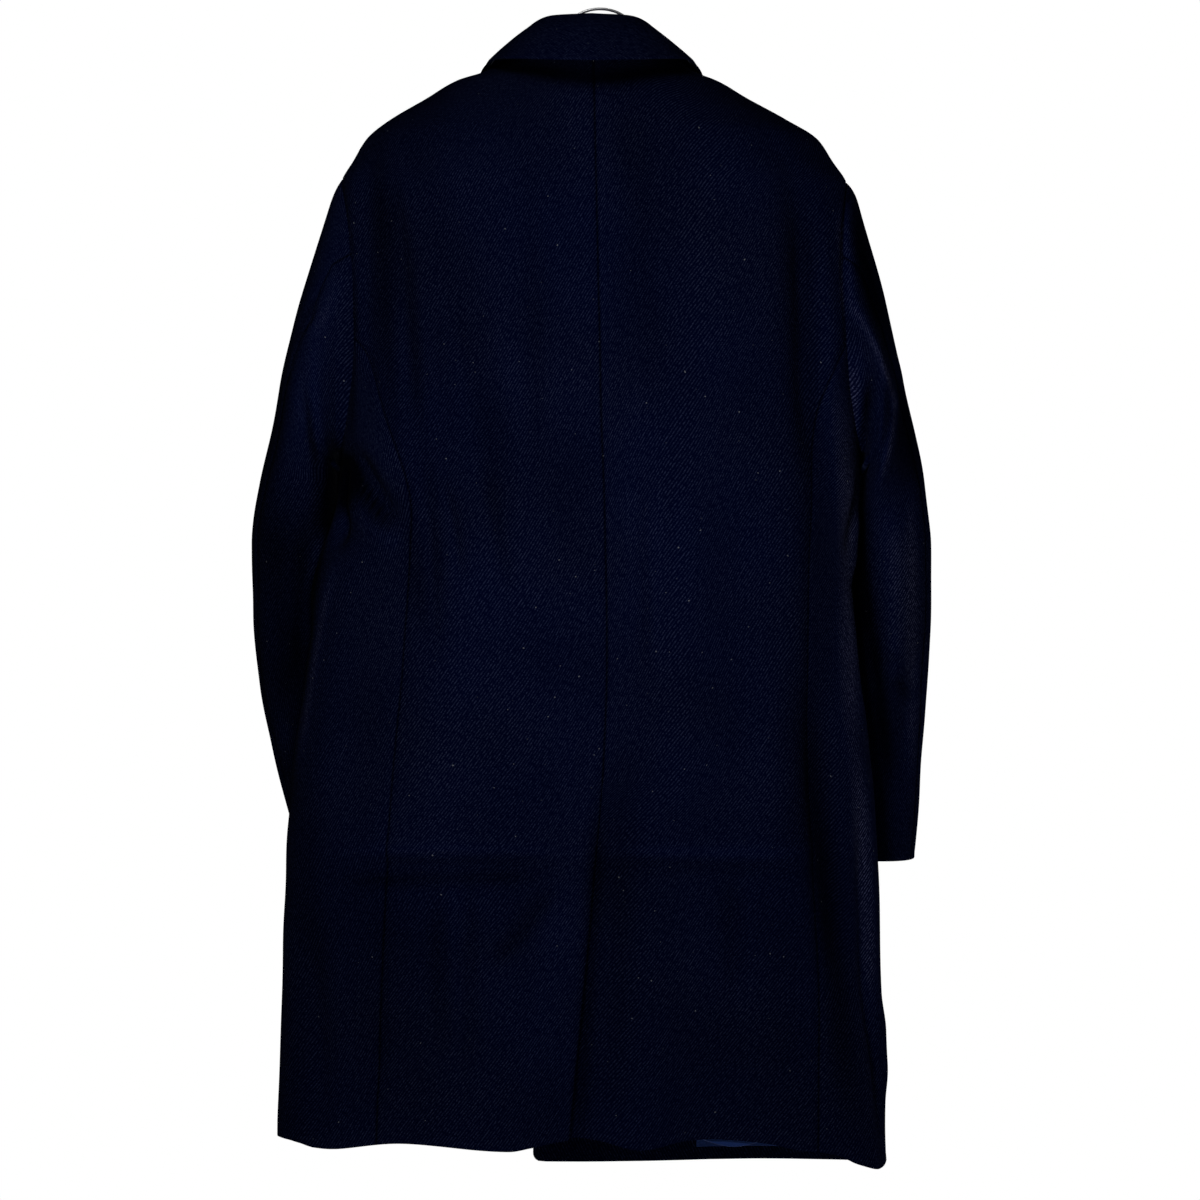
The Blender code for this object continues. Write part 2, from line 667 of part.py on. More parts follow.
def sleeve_line(side):
    """The sleeve's outer face as a function of turn and ring."""
    table = SLEEVES[side]

    def surface(turn, ring):
        outer_x, outer_z, inner_x, inner_z, middle, half_depth = (
            table.at(name, ring) for name in table.columns[1:]
        )
        sine, cosine = np.sin(turn), np.cos(turn)
        size = (np.abs(sine) ** SLEEVE_SQUARENESS + np.abs(cosine) ** SLEEVE_SQUARENESS) ** (
            -1 / SLEEVE_SQUARENESS
        )
        half_x, half_z = (outer_x - inner_x) / 2, (outer_z - inner_z) / 2
        ray = np.stack([half_x * cosine, -half_depth * sine, half_z * cosine], axis=-1)
        ray = ray * size[..., None]
        middle = np.stack([(outer_x + inner_x) / 2, middle, (outer_z + inner_z) / 2], axis=-1)
        swell = folds(SLEEVE_FOLDS[side], np.degrees(turn) % 360, ring)
        tube = middle + ray * (1 + swell / np.linalg.norm(ray, axis=-1))[..., None]
        share = np.clip(ring / ARMHOLE_BLEND, 0.0, 1.0)
        head = SLEEVE_HEAD * share * (1 - share) ** 2 * HEAD_PEAK
        start = torso(*armhole(side, turn, ARMHOLE_GAP), head)
        share = (share * (2 - share))[..., None]
        return start + share * (tube - start)

    return surface


def sleeve(side, material):
    surface = sleeve_line(side)
    ring = np.array(SLEEVE_RINGS)
    elbow, inside = (np.radians(SEAM_TURN.at(name, ring)) for name in ("elbow", "inside"))
    pieces = (("top", inside - 2 * math.pi, elbow, TOP_COLUMNS), ("under", elbow, inside, UNDER_COLUMNS))
    ends = (ring[0], ring[-1])
    for name, first, last, count in pieces:
        turn = spread(first + TURN_GAP, last - TURN_GAP, count)
        grid = np.broadcast_to(ring[:, None], turn.shape)
        faces = [moved(surface, turn, grid, ends, side * out) for out in (0.0, -WALL)]
        wall(f"sleeve_{name}_{NAMES[side]}", *faces, material)


def collar_line(along, share):
    """The collar's middle face: along the neckline, and from the seam over the fold to the edge."""
    side, along = np.sign(along + 1e-9), np.abs(along)
    back, front = np.minimum(along, 1.0), np.maximum(along - 1.0, 0.0)
    height = NECK + front * (COLLAR_END - NECK)
    edge = np.where(side > 0, front_edge(RIGHT, height), front_edge(LEFT, height))
    girth = edge * back
    seam = body_line(girth, height)
    over = body_line(girth + side * NUDGE, height) - seam
    up = seam - body_line(girth, height - 0.004)
    over /= np.linalg.norm(over, axis=-1, keepdims=True)
    up /= np.linalg.norm(up, axis=-1, keepdims=True)
    turned = step(along, 0.85, 1.15)[..., None]
    away = up * (1 - turned) + over * turned
    clear = COLLAR_CLEAR + CORNER_CLEAR * np.exp(-(((along - CORNER_AT) / CORNER_RUN) ** 2))
    seam = seam + clear[..., None] * away / np.linalg.norm(away, axis=-1, keepdims=True)
    fold, edge = (
        np.stack(
            [
                NECK_CENTRE + side * COLLAR.at(name + "_x", along),
                COLLAR.at(name + "_y", along),
                COLLAR.at(name + "_z", along),
            ],
            axis=-1,
        )
        for name in ("fold", "edge")
    )
    rise, fall = fold - seam, fold - edge
    crest = rise / np.linalg.norm(rise, axis=-1, keepdims=True)
    crest = crest + fall / np.linalg.norm(fall, axis=-1, keepdims=True)
    crest /= np.linalg.norm(crest, axis=-1, keepdims=True)
    out = edge - seam
    out = out - crest * (out * crest).sum(axis=-1, keepdims=True)
    out /= np.linalg.norm(out, axis=-1, keepdims=True)
    inner, outer = fold - FOLD_RADIUS * out, fold + FOLD_RADIUS * out
    belly = FALL_BELLY * (out + crest)
    path = np.stack(
        [
            seam,
            seam + (inner - seam) * 0.5,
            inner,
            fold + FOLD_RADIUS * crest,
            outer,
            outer + (edge - outer) * 0.35 + belly,
            outer + (edge - outer) * 0.70 + belly * 0.8,
            edge,
        ]
    )
    path = np.concatenate([2 * path[:1] - path[1:2], path, 2 * path[-1:] - path[-2:-1]])
    spot = np.clip(share, 0.0, 1.0) * (len(path) - 3)
    at = np.minimum(spot.astype(int), len(path) - 4)
    t = (spot - at)[..., None]
    grid = np.indices(at.shape)
    a, b, c, d = (path[(at + k, *grid)] for k in range(4))
    return 0.5 * (
        2 * b + (c - a) * t + (2 * a - 5 * b + 4 * c - d) * t**2 + (3 * b - a - 3 * c + d) * t**3
    )


def collar(material):
    along, share = np.meshgrid(
        np.linspace(-2.0, 2.0, COLLAR_COLUMNS), np.linspace(0.0, 1.0, COLLAR_ROWS)
    )
    faces = [
        moved(collar_line, along, share, (0.0, 1.0), out * COLLAR_WALL / 2) for out in (1, -1)
    ]
    wall("collar", *faces, material)


def button(number, height, material):
    girth = np.array([girth_at_x(LEFT, TORSO.at("centre_x", height), height, FRONT_SIDE)])
    level = np.array([height])
    seat = torso(girth, level, LAYER_GAP)[0]
    facing = torso(girth, level, 1.0)[0] - torso(girth, level)[0]
    edit = bmesh.new()
    made = bmesh.ops.create_cone(
        edit,
        cap_ends=True,
        segments=BUTTON_SIDES,
        radius1=BUTTON_RADIUS,
        radius2=BUTTON_RADIUS,
        depth=BUTTON_THICK,
    )
    rims = [edge for edge in edit.edges if len({round(v.co.z, 6) for v in edge.verts}) == 1]
    bmesh.ops.translate(edit, verts=made["verts"], vec=(0, 0, BUTTON_THICK / 2))
    bmesh.ops.bevel(edit, geom=rims, offset=BUTTON_BEVEL, segments=1, affect="EDGES")
    turn = Vector((0, 0, 1)).rotation_difference(Vector(facing)).to_matrix().to_4x4()
    bmesh.ops.transform(edit, matrix=Matrix.Translation(Vector(seat)) @ turn, verts=edit.verts)
    mesh = bpy.data.meshes.new(f"button_{number}")
    edit.to_mesh(mesh)
    edit.free()
    obj = bpy.data.objects.new(f"button_{number}", mesh)
    obj.data.materials.append(material)
    bpy.context.scene.collection.objects.link(obj)


def hanger_top():
    """The line that the shoulders rest on, from the left end to the right end."""
    arms = []
    for side in (LEFT, RIGHT):
        height = np.linspace(HANGER_ARM_LOW, HANGER_ARM_HIGH, HANGER_ARM_POINTS)
        arms.append(torso(np.full_like(height, side * 0.5), height, -WALL - HANGER_GAP))
    left, right = arms[0], arms[1][::-1]
    x = np.linspace(left[-1, 0], right[0, 0], HANGER_CENTRE_POINTS)[1:-1]
    ends = np.interp(x, [left[-1, 0], right[0, 0]], [left[-1, 2], right[0, 2]])
    dip = HANGER_CENTRE - (left[-1, 2] + right[0, 2]) / 2
    share = np.sin(np.linspace(0, math.pi, HANGER_CENTRE_POINTS)[1:-1]) ** 2
    centre = np.stack([x, np.zeros_like(x), ends + dip * share], axis=-1)
    return np.concatenate([left, centre, right]) * (1, 0, 1)


def hanger_body(material):
    top = hanger_top()
    reach = np.abs(top[:, 0]) / np.abs(top[:, 0]).max()
    deep = HANGER_DEEP * (1 - HANGER_TAPER * reach)
    half, edge = HANGER_THICK / 2, HANGER_EDGE
    ring = []
    for y, drop, share in (
        (half - edge, 0, 0), (half, edge, 0), (half, -edge, 1), (half - edge, 0, 1),
        (edge - half, 0, 1), (-half, -edge, 1), (-half, edge, 0), (edge - half, 0, 0),
    ):
        z = top[:, 2] - drop - share * deep
        ring.append(np.stack([top[:, 0], np.full_like(z, y), z], axis=-1))
    rings = np.stack(ring, axis=1)
    count, around = rings.shape[:2]
    index = np.arange(count * around).reshape(count, around)
    beside = np.roll(index, -1, axis=1)
    sides = np.stack([index[:-1], beside[:-1], beside[1:], index[1:]], axis=-1)
    faces = sides.reshape(-1, 4).tolist() + [index[0].tolist()[::-1], index[-1].tolist()]
    solid("hanger_body", rings, faces, material)


def hanger_hook(material):
    """A wire bent from the hanger's middle round to the bearing point and over to its tip."""
    turn = np.radians(np.linspace(HOOK_FROM, HOOK_TO, HOOK_POINTS))
    middle = HOOK_WIRE - HOOK_HALF_HEIGHT
    round_x, round_z = HOOK_HALF_WIDTH * np.cos(turn), middle + HOOK_HALF_HEIGHT * np.sin(turn)
    foot = HANGER_CENTRE + 2 * SEAM_GAP
    bend = min(HOOK_HALF_HEIGHT * 0.35, middle - HOOK_HALF_HEIGHT - foot)
    path = np.stack([round_x, np.zeros_like(turn), round_z], axis=-1)[HOOK_BEND_POINTS:]
    path = np.concatenate([[(0, 0, foot), (0, 0, foot + bend * 0.7)], path])
    curve = bpy.data.curves.new("hanger_hook", "CURVE")
    curve.dimensions = "3D"
    curve.bevel_depth = HOOK_WIRE
    curve.bevel_resolution = 2
    curve.use_fill_caps = True
    spline = curve.splines.new("POLY")
    spline.points.add(len(path) - 1)
    spline.points.foreach_set("co", np.c_[path, np.ones(len(path))].ravel())
    curve.materials.append(material)
    bpy.context.scene.collection.objects.link(bpy.data.objects.new("hanger_hook", curve))


def finish(name, colour, roughness, metallic=0.0):
    material = bpy.data.materials.new(name)
    material.use_nodes = True
    shader = material.node_tree.nodes["Principled BSDF"]
    shader.inputs["Base Color"].default_value = (*colour, 1.0)
    shader.inputs["Roughness"].default_value = roughness
    shader.inputs["Metallic"].default_value = metallic
    return material


def main():
    for obj in list(bpy.data.objects):
        bpy.data.objects.remove(obj)
    wool = finish("navy wool twill", (0.012, 0.016, 0.045), 0.9)
    satin = finish("blue lining", (0.030, 0.060, 0.220), 0.35)
    horn = finish("dark button", (0.015, 0.012, 0.012), 0.4)
    wood = finish("hanger wood", (0.200, 0.110, 0.055), 0.5)
    steel = finish("hook steel", (0.550, 0.550, 0.560), 0.3, 1.0)
    for side in (LEFT, RIGHT):
        back_panel(side, wool)
        side_panel(side, wool)
        front_panel(side, wool)
        lapel(side, wool)
        sleeve(side, wool)
    collar(wool)
    linings(satin)
    for number, height in enumerate(BUTTON_HEIGHTS, start=1):
        button(number, height, horn)
    hanger_body(wood)
    hanger_hook(steel)


main()
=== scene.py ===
"""Looks of a navy wool duster coat that hangs on a coat hanger and is seen from behind.

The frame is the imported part's: the origin is where a rail bears on the hook, +Z is up, the wearer faces
+Y and the wearer's right is +X. Every size is in metres. A cloth piece is a grid of points on one of the
coat's surfaces, made a wall with rounded edges; its creases are moved into the surface itself.
"""

from __future__ import annotations

import logging
import math
from dataclasses import dataclass
from enum import Enum, IntEnum
from functools import partial
from typing import Callable, Sequence

import bpy
import numpy as np
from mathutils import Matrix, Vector


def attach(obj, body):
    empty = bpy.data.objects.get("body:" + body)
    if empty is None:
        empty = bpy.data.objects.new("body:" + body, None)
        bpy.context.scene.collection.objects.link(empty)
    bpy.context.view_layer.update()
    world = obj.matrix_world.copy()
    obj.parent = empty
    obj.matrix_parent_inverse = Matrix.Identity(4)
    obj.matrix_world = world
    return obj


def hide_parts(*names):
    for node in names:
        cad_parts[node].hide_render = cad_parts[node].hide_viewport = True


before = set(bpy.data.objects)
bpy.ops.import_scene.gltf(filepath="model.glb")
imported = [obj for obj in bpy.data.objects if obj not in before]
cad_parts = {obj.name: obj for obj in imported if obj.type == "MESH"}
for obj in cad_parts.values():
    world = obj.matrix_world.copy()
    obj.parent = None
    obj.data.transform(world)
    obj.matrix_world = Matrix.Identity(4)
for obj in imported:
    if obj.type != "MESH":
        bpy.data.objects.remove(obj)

Array = np.ndarray
Surface = Callable[[Array, Array], Array]
Pair = tuple[float, float]
Triple = tuple[float, float, float]
Colour = Triple
Material = bpy.types.Material
Node = bpy.types.Node
Obj = bpy.types.Object

LOG = logging.getLogger("coat")
TAU = 2 * math.pi
NUDGE = 1e-4
TINY = 1e-6
ALMOST = 0.9999
FOLD_FADE = (0.15, 0.5)
CREASE_FADE = (0.22, 0.62)
WAVE_SIZES = (0.035, 0.170)
WAVE_LEAN = (1.3, 1.0, 0.7)
EDGE_STEPS = np.array((0.0, 0.00012, 0.00035, 0.0007, 0.0011, 0.0018, 0.0032))
# A stitch's profile: the place along its length, and its thickness there.
STITCH = np.array(((-0.5, 0.05), (-0.42, 0.7), (-0.2, 1.0), (0.2, 1.0), (0.42, 0.7), (0.5, 0.05)))


class Side(IntEnum):
    """The wearer's left or right, as the sign of X."""

    LEFT = -1
    RIGHT = 1

    @property
    def label(self) -> str:
        """The side's word in node names."""
        return self.name.lower()


class Face(IntEnum):
    """The back or the front of the body."""

    BACK = 1
    FRONT = -1


class Table:
    """Rows of named columns, read as smooth curves over the first column."""

    def __init__(self, text: str) -> None:
        """Reads the rows and sorts them by their first column.

        Args:
            text: a line of names, then a line of numbers for each row, which may leave out zeros at its end.
        """
        names, *lines = text.strip().splitlines()
        self.columns = names.split()
        rows = [[float(number) for number in line.split()] for line in lines]
        self.rows = np.array(sorted(row + [0.0] * (len(self.columns) - len(row)) for row in rows))

    def at(self, column: str, where: Array | float) -> Array:
        """Shape-keeping cubic through the rows, level beyond both ends.

        Args:
            column: the column to read.
            where: places along the first column.

        Returns:
            The column's value at each place.
        """
        x = self.rows[:, 0]
        y = self.rows[:, self.columns.index(column)]
        where = np.clip(np.asarray(where, float), x[0], x[-1])
        gap = np.diff(x)
        rise = np.diff(y) / gap
        slope = np.concatenate([rise[:1], np.zeros(len(x) - 2), rise[-1:]])
        same = rise[:-1] * rise[1:] > 0
        near, far = 2 * gap[1:] + gap[:-1], gap[1:] + 2 * gap[:-1]
        safe = np.where(same[:, None], np.stack([rise[:-1], rise[1:]], 1), 1.0)
        mean = (near + far) / (near / safe[:, 0] + far / safe[:, 1])
        slope[1:-1] = np.where(same, mean, 0.0)
        i = np.clip(np.searchsorted(x, where) - 1, 0, len(x) - 2)
        t = (where - x[i]) / gap[i]
        return (
            y[i] * (1 + 2 * t) * (1 - t) ** 2
            + slope[i] * gap[i] * t * (1 - t) ** 2
            + y[i + 1] * t * t * (3 - 2 * t)
            + slope[i + 1] * gap[i] * t * t * (t - 1)
        )

    def all_at(self, where: Array | float) -> list[Array]:
        """Every column but the first one, read at the same places."""
        return [self.at(name, where) for name in self.columns[1:]]


# Columns that several tables share.
FOLD = "place middle length width depth lean"
CREASE = "from_x from_z to_x to_z width depth bow lip"
RING = "ring outer_x outer_z inner_x inner_z middle_y half_depth"
# Level sections of the body: a super-ellipse with its own depth to the back and to the front.
TORSO = Table("""
height centre_x half_width back front squareness
-1.02 -.0155 .2745 .082 .066 2.5
-.89 -.016 .27 .087 .068 2.4
-.716 -.016 .263 .094 .072 2.3
-.592 -.017 .248 .097 .078 2.2
-.522 -.014 .24 .099 .083 2.2
-.46 -.004 .2345 .102 .087 2.2
-.43 -.001 .2345 .103 .088 2.2
-.4 0 .232 .104 .089 2.2
-.3 -.001 .232 .106 .09 2.2
-.16 -.0058 .2285 .104 .088 2.2
-.135 -.007 .2148 .102 .085 2.1
-.117 -.0077 .2032 .099 .082 2.1
-.099 -.0105 .1783 .095 .078 2
-.081 -.011 .147 .09 .072 2
-.064 -.011 .118 .082 .066 2
-.057 -.01 .098 .076 .062 2
-.046 -.008 .078 .066 .058 2
""")
# Where the back's seams lie across it. Above the armhole the side seams run off its edge.
BACK_SEAMS = Table("""
height centre left right
-1.02 -.0265 -.197 .192
-.88 -.0145 -.192 .193
-.76 -.004 -.186 .189
-.69 .002 -.182 .187
-.577 .006 -.172 .183
-.453 .004 -.166 .186
-.368 .001 -.19 .196
-.311 0 -.211 .214
-.27 -.001 -.235 .235
-.046 -.006 -.24 .24
""")
# The front edge of the cloth, from the front's centre towards the wearer's other side.
FRONT_EDGE = Table("""
height past_centre
-1.02 .046
-.37 .04
-.3 .004
-.2 -.042
-.135 -.067
-.1 -.079
-.081 -.083
-.064 -.083
-.046 -.076
""")
# The hem's real level, around the body from the front on the left, over the back, to the front.
HEM_LINE = Table("""
girth level
-1 -1.029
-.7 -1.024
-.6 -1.0185
-.5 -1.0122
-.45 -1.0111
-.41 -1.0104
-.37 -1.0106
-.33 -1.0126
-.306 -1.0152
-.28 -1.0158
-.184 -1.0085
-.074 -1.0142
-.052 -1.011
-.008 -1.0034
.012 -1.0042
.058 -1.013
.108 -1.0043
.124 -1.0034
.189 -1.0085
.218 -1.0142
.275 -1.0206
.316 -1.0307
.378 -1.0373
.41 -1.0374
.45 -1.0345
.5 -1.034
.6 -1.039
.7 -1.0411
.82 -1.043
.92 -1.0455
1 -1.0464
""")
# The largest folds of the body cloth: a ridge is positive. The line of each one passes through its place
# at its middle height and leans by so much over its length.
BODY_FOLDS = Table(FOLD + """
-.76 -.65 .56 .045 -.005 -.02
-.47 -.5 .13 .04 .005 -.02
-.42 -.445 .1 .032 -.012 -.08
-.33 -.25 .3 .035 -.005 .02
-.2 -.36 .46 .04 -.005 -.09
-.16 -.9 .16 .03 -.006 .06
-.07 -.56 .22 .025 .003 .01
.09 -.6 .24 .022 -.004
.17 -.88 .33 .04 .004
.27 -.26 .34 .03 -.006
.385 -.86 .42 .028 -.009 -.06
.435 -.45 .1 .03 -.006 .05
.45 -.595 .18 .05 .004
.46 -.48 .08 .03 .005 .02
.47 -1.04 .18 .06 -.003
.48 -.925 .09 .05 .003
.76 -.65 .56 .045 -.005 .02
""")
# Creases of the back, seen from behind: a ridge is positive, bow moves the line's middle to its left,
# and a lip lifts the line's left side and lowers its right side.
BACK_CREASES = Table(CREASE + """
-.262 -.82 -.252 -1 .016 -.009 .002
-.228 -.438 -.176 -.476 .012 .0055
-.224 -.398 -.18 -.466 .009 -.013
-.215 -.757 -.035 -.754 .013 0 0 .0095
-.191 -.14 -.173 -.38 .013 -.0095 .004
-.165 -.132 -.084 -.475 .018 -.0085 .012
-.156 -.44 -.147 -.58 .009 -.0055 .001
-.143 -.775 -.141 -.93 .01 -.0048
-.143 -.425 -.124 -.515 .008 -.0055 .002
-.118 -.77 -.116 -.96 .009 -.0045 .002
-.061 -.15 -.057 -.39 .012 -.0045
-.045 -.785 -.096 -.856 .012 -.0075 .003
-.012 -.65 -.016 -.72 .006 -.0022
0 -.756 .17 -.761 .012 0 -.001 .0045
.031 -.21 .034 -.39 .022 -.0075
.043 -.42 .046 -.59 .009 -.0042 .001
.066 -.43 .063 -.58 .011 -.004 -.001
.118 -.765 .121 -.88 .012 -.005
.15 -.59 .157 -.76 .019 .004
.182 -.17 .189 -.43 .013 -.01 .003
.19 -.61 .236 -.91 .016 -.013 -.01
""")
# Creases of the front, with X still to the wearer's right.
FRONT_CREASES = Table(CREASE + """
-.19 -.56 -.2 -.86 .014 -.0038 .004
-.04 -.64 -.12 -.9 .016 -.0045 .008
-.032 -.41 -.17 -.42 .012 -.003 -.004
-.03 -.4 -.15 -.33 .014 -.004 .006
.06 -.4 .17 -.33 .014 -.0038 -.006
.07 -.52 .19 -.47 .012 -.003 -.004
.08 -.66 .14 -.93 .018 -.005 -.008
.2 -.6 .21 -.9 .014 -.0038 -.004
""")
# Creases of each sleeve's back, seen from behind.
SLEEVE_CREASES = {
    Side.LEFT: Table(CREASE + """
-.3 -.56 -.262 -.592 .008 -.0026 .003
-.292 -.64 -.258 -.655 .007 -.0024 -.002
-.266 -.44 -.284 -.69 .014 -.006 .004
-.254 -.258 -.273 -.3 .004 -.003 .002
-.249 -.372 -.258 -.545 .007 .004 .003
-.243 -.244 -.266 -.292 .005 -.0036 .003
"""),
    Side.RIGHT: Table(CREASE + """
.215 -.162 .224 -.281 .0054 .006
.222 -.265 .253 -.334 .0049 .007 .002
.226 -.172 .26 -.314 .009 -.0065 -.004
.238 -.334 .232 -.403 .0075 -.011
.248 -.321 .263 -.362 .0049 .007 .002
.254 -.585 .29 -.601 .0073 -.0042 .003
.258 -.621 .256 -.722 .01 -.004 .002
.264 -.344 .249 -.427 .0049 .008 .003
.271 -.334 .282 -.428 .0098 -.006 -.003
"""),
}
# Painted light and shade on the back, mixed with the lie of the wool's nap, as soft strokes that are lighter
# or, below 0, darker:
# the painted shadow under the collar, painted shade in the underarm hollow, beside the vent and along folds,
# and painted highlights on lit ridges and the right edge.
BACK_NAP_AND_PAINTED_LIGHT = Table(CREASE + """
-.253 -.531 -.266 -1.027 .018 -.28
-.246 -.454 -.267 -.62 .0063 -.8 -.003
-.234 -.491 -.268 -.682 .0053 .7 -.004
-.232 -.397 -.226 -.455 .0125 -.95
-.229 -.777 -.044 -.771 .0079 -.42
-.229 -.399 -.184 -.47 .0089 -.95
-.227 -.454 -.172 -.485 .0044 .3
-.225 -.75 -.026 -.75 .0053 .3
-.22 -.246 -.22 -.399 .0044 -.5
-.198 -.785 -.193 -.979 .0351 -.16
-.198 -.104 -.181 -.399 .0099 -.55
-.191 -.781 -.19 -.979 .0079 -.12
-.183 -.162 -.177 -.276 .0062 -.22
-.174 -.417 -.154 -.557 .0105 -.34
-.172 -.206 -.156 -.391 .007 -.26
-.172 -.134 -.127 -.374 .0088 -.1
-.171 -.12 -.081 -.487 .0132 -.26 .009
-.152 -.404 -.135 -.531 .007 -.26
-.143 -.78 -.142 -.925 .007 -.22
-.115 -.775 -.117 -.964 .007 -.18
-.099 -.417 -.078 -.522 .0078 -.24
-.099 -.049 .094 -.049 .009 -.82 -.025
-.092 -.034 -.062 -.026 .0072 .28
-.07 -.252 -.061 -.496 .033 -.14
-.06 -.152 -.055 -.409 .007 -.12
-.044 -.024 .044 -.022 .0106 -.25
-.042 -.784 -.094 -.852 .007 -.32 .003
-.028 -.766 -.068 -.994 .0157 .15
.001 -.692 -.02 -1.021 .0078 -.5
.009 -.768 .185 -.77 .0079 -.12
.009 -.749 .185 -.753 .0052 .28
.019 -.073 .052 -.391 .0175 -.22
.021 -.635 .011 -.986 .0157 -.26
.022 -.085 .035 -.218 .0245 -.16
.081 -.034 .053 -.025 .0072 .28
.087 -.2 .105 -.382 .0226 .08
.119 -.767 .119 -.872 .0105 -.12
.127 -.373 .136 -.741 .0367 .12
.181 -.601 .221 -.986 .0141 -.6
.181 -.165 .188 -.425 .0097 -.32
.185 -.399 .181 -.61 .0106 -.22
.198 -.195 .209 -.424 .0106 .25
.211 -.18 .218 -.291 .0053 .62
.218 -.34 .225 -.673 .0124 .85
.228 -.664 .244 -.896 .0089 .85
""")
# Painted light and shade on each sleeve's back, mixed with the lie of its nap: painted shade in the hollows
# and beside the body, painted highlights on the ridges of its folds.
SLEEVE_NAP_AND_PAINTED_LIGHT = {
    Side.LEFT: Table(CREASE + """
-.294 -.441 -.285 -.658 .0179 -.55
-.267 -.459 -.276 -.621 .009 -.5
-.253 -.264 -.269 -.294 .0027 -.3
-.242 -.247 -.263 -.286 .0027 -.3
-.239 -.256 -.281 -.424 .0195 .3
-.231 -.242 -.251 -.296 .0071 .3
-.23 -.384 -.249 -.481 .0142 -.95
"""),
    Side.RIGHT: Table(CREASE + """
.215 -.158 .224 -.281 .0045 .6
.222 -.265 .253 -.334 .0044 .75 .002
.223 -.305 .228 -.419 .0089 .6
.225 -.162 .256 -.311 .0117 -.88 -.004
.229 -.389 .234 -.441 .0071 .4
.234 -.432 .241 -.56 .008 -.75
.238 -.336 .232 -.403 .0044 -.9
.242 -.538 .267 -.708 .009 -.75
.249 -.323 .262 -.361 .0035 .85 .002
.263 -.45 .271 -.603 .0125 .5
.263 -.344 .249 -.427 .0035 .8 .003
.266 -.6 .288 -.623 .0064 -.45
.27 -.331 .285 -.432 .0124 -.75
.28 -.402 .286 -.704 .0071 .6
"""),
}
# Rings of each sleeve after the armhole: the ring's outer and inner end seen from the back, and its
# middle and half depth from back to front.
SLEEVE_RINGS = {
    Side.LEFT: Table(RING + """
1 -.2463 -.185 -.2385 -.399 0 .05
2 -.2614 -.235 -.2395 -.406 .002 .06
3 -.2758 -.282 -.238 -.411 .01 .067
4 -.2884 -.325 -.235 -.415 .023 .071
5 -.2994 -.38 -.227 -.4235 .045 .073
6 -.3114 -.425 -.224 -.452 .065 .074
7 -.3208 -.48 -.229 -.495 .08 .074
8 -.3216 -.545 -.237 -.553 .087 .072
9 -.3168 -.61 -.242 -.616 .098 .068
10 -.3063 -.665 -.233 -.669 .108 .064
11 -.2928 -.72 -.219 -.723 .114 .06
12 -.2797 -.772 -.207 -.774 .117 .058
"""),
    Side.RIGHT: Table(RING + """
1 .2365 -.188 .2385 -.4 0 .05
2 .2496 -.235 .2395 -.407 .002 .06
3 .2614 -.28 .238 -.412 .01 .067
4 .2726 -.325 .235 -.4165 .023 .071
5 .2873 -.378 .2315 -.4255 .045 .073
6 .2992 -.425 .2255 -.454 .063 .074
7 .3062 -.48 .2185 -.495 .073 .074
8 .3052 -.545 .218 -.553 .08 .072
9 .3014 -.61 .22 -.616 .088 .068
10 .2984 -.665 .222 -.669 .094 .064
11 .2955 -.72 .221 -.723 .098 .06
12 .291 -.7698 .22 -.769 .1 .058
"""),
}
# Where a sleeve's two seams lie, in degrees around each ring.
SEAM_TURN = Table("""
ring elbow inside
0 66 235
5 45 240
8 36 245
12 32 245
""")
# Folds of each sleeve, by the turn around the ring from its outer end over the back.
SLEEVE_FOLDS = {
    Side.LEFT: Table(FOLD + """
60 5 5 16 .004 -18
75 8.6 4 18 -.005 -14
96 4.6 3.4 13 -.006 20
112 5.4 4.6 11 .005 10
152 5.6 4.6 17 -.01 4
205 3.8 3 18 .008
285 6.5 5 20 -.004 15
"""),
    Side.RIGHT: Table(FOLD + """
60 9.4 2.6 16 -.005 20
68 4.2 4 13 -.007 14
80 7.9 3.6 18 .005 -16
105 4.6 3.6 15 .007 10
150 5.6 4 17 -.009 6
205 3.8 3 18 .006
285 6.5 5 20 -.004 -15
"""),
}
# Half of the collar, from the centre back (along 0) past the shoulder seam (along 1) to its front end
# (along 2): its fold and the edge of its fall, measured from the neck's centre.
COLLAR = Table("""
along fold_x fold_y fold_z edge_x edge_y edge_z
0 0 -.064 -.0185 0 -.096 -.06
.3 .034 -.0565 -.019 .041 -.091 -.0585
.57 .052 -.039 -.0225 .075 -.07 -.0545
.8 .062 -.011 -.03 .09 -.028 -.05
1 .064 .015 -.0345 .096 .012 -.05
1.4 .073 .045 -.056 .107 .05 -.069
1.7 .076 .062 -.074 .11 .073 -.094
2 .073 .074 -.09 .103 .085 -.116
""")
# The lapel's width from the front edge, between its tip and the break.
LAPEL_WIDTH = Table("""
height width
-.362 .01
-.34 .022
-.3 .04
-.25 .06
-.2 .074
-.16 .083
-.124 .092
-.112 .066
""")


def step(value: Array, low: float, high: float) -> Array:
    """A smooth rise, 3t^2 - 2t^3, from 0 below low to 1 above high."""
    t = np.clip((value - low) / (high - low), 0.0, 1.0)
    return t * t * (3 - 2 * t)


def bell(value: Array) -> Array:
    """A bell of height 1, exp(-t^2)."""
    return np.exp(-value * value)


def joined(*parts: Array | float) -> Array:
    """Coordinates as one array of points."""
    return np.stack(np.broadcast_arrays(*parts), axis=-1)


def unit(vectors: Array) -> Array:
    """Vectors of length 1."""
    return vectors / np.linalg.norm(vectors, axis=-1, keepdims=True)


def circle(count: int) -> Array:
    """Turns that stand evenly around a circle."""
    return np.linspace(0, TAU, count, endpoint=False)


def super_size(sine: Array, cosine: Array, square: Array | float) -> Array:
    """The radius of a unit super-ellipse, (|sin|^n + |cos|^n)^(-1/n); n = 2 is a circle."""
    return (np.abs(sine) ** square + np.abs(cosine) ** square) ** (-1 / square)


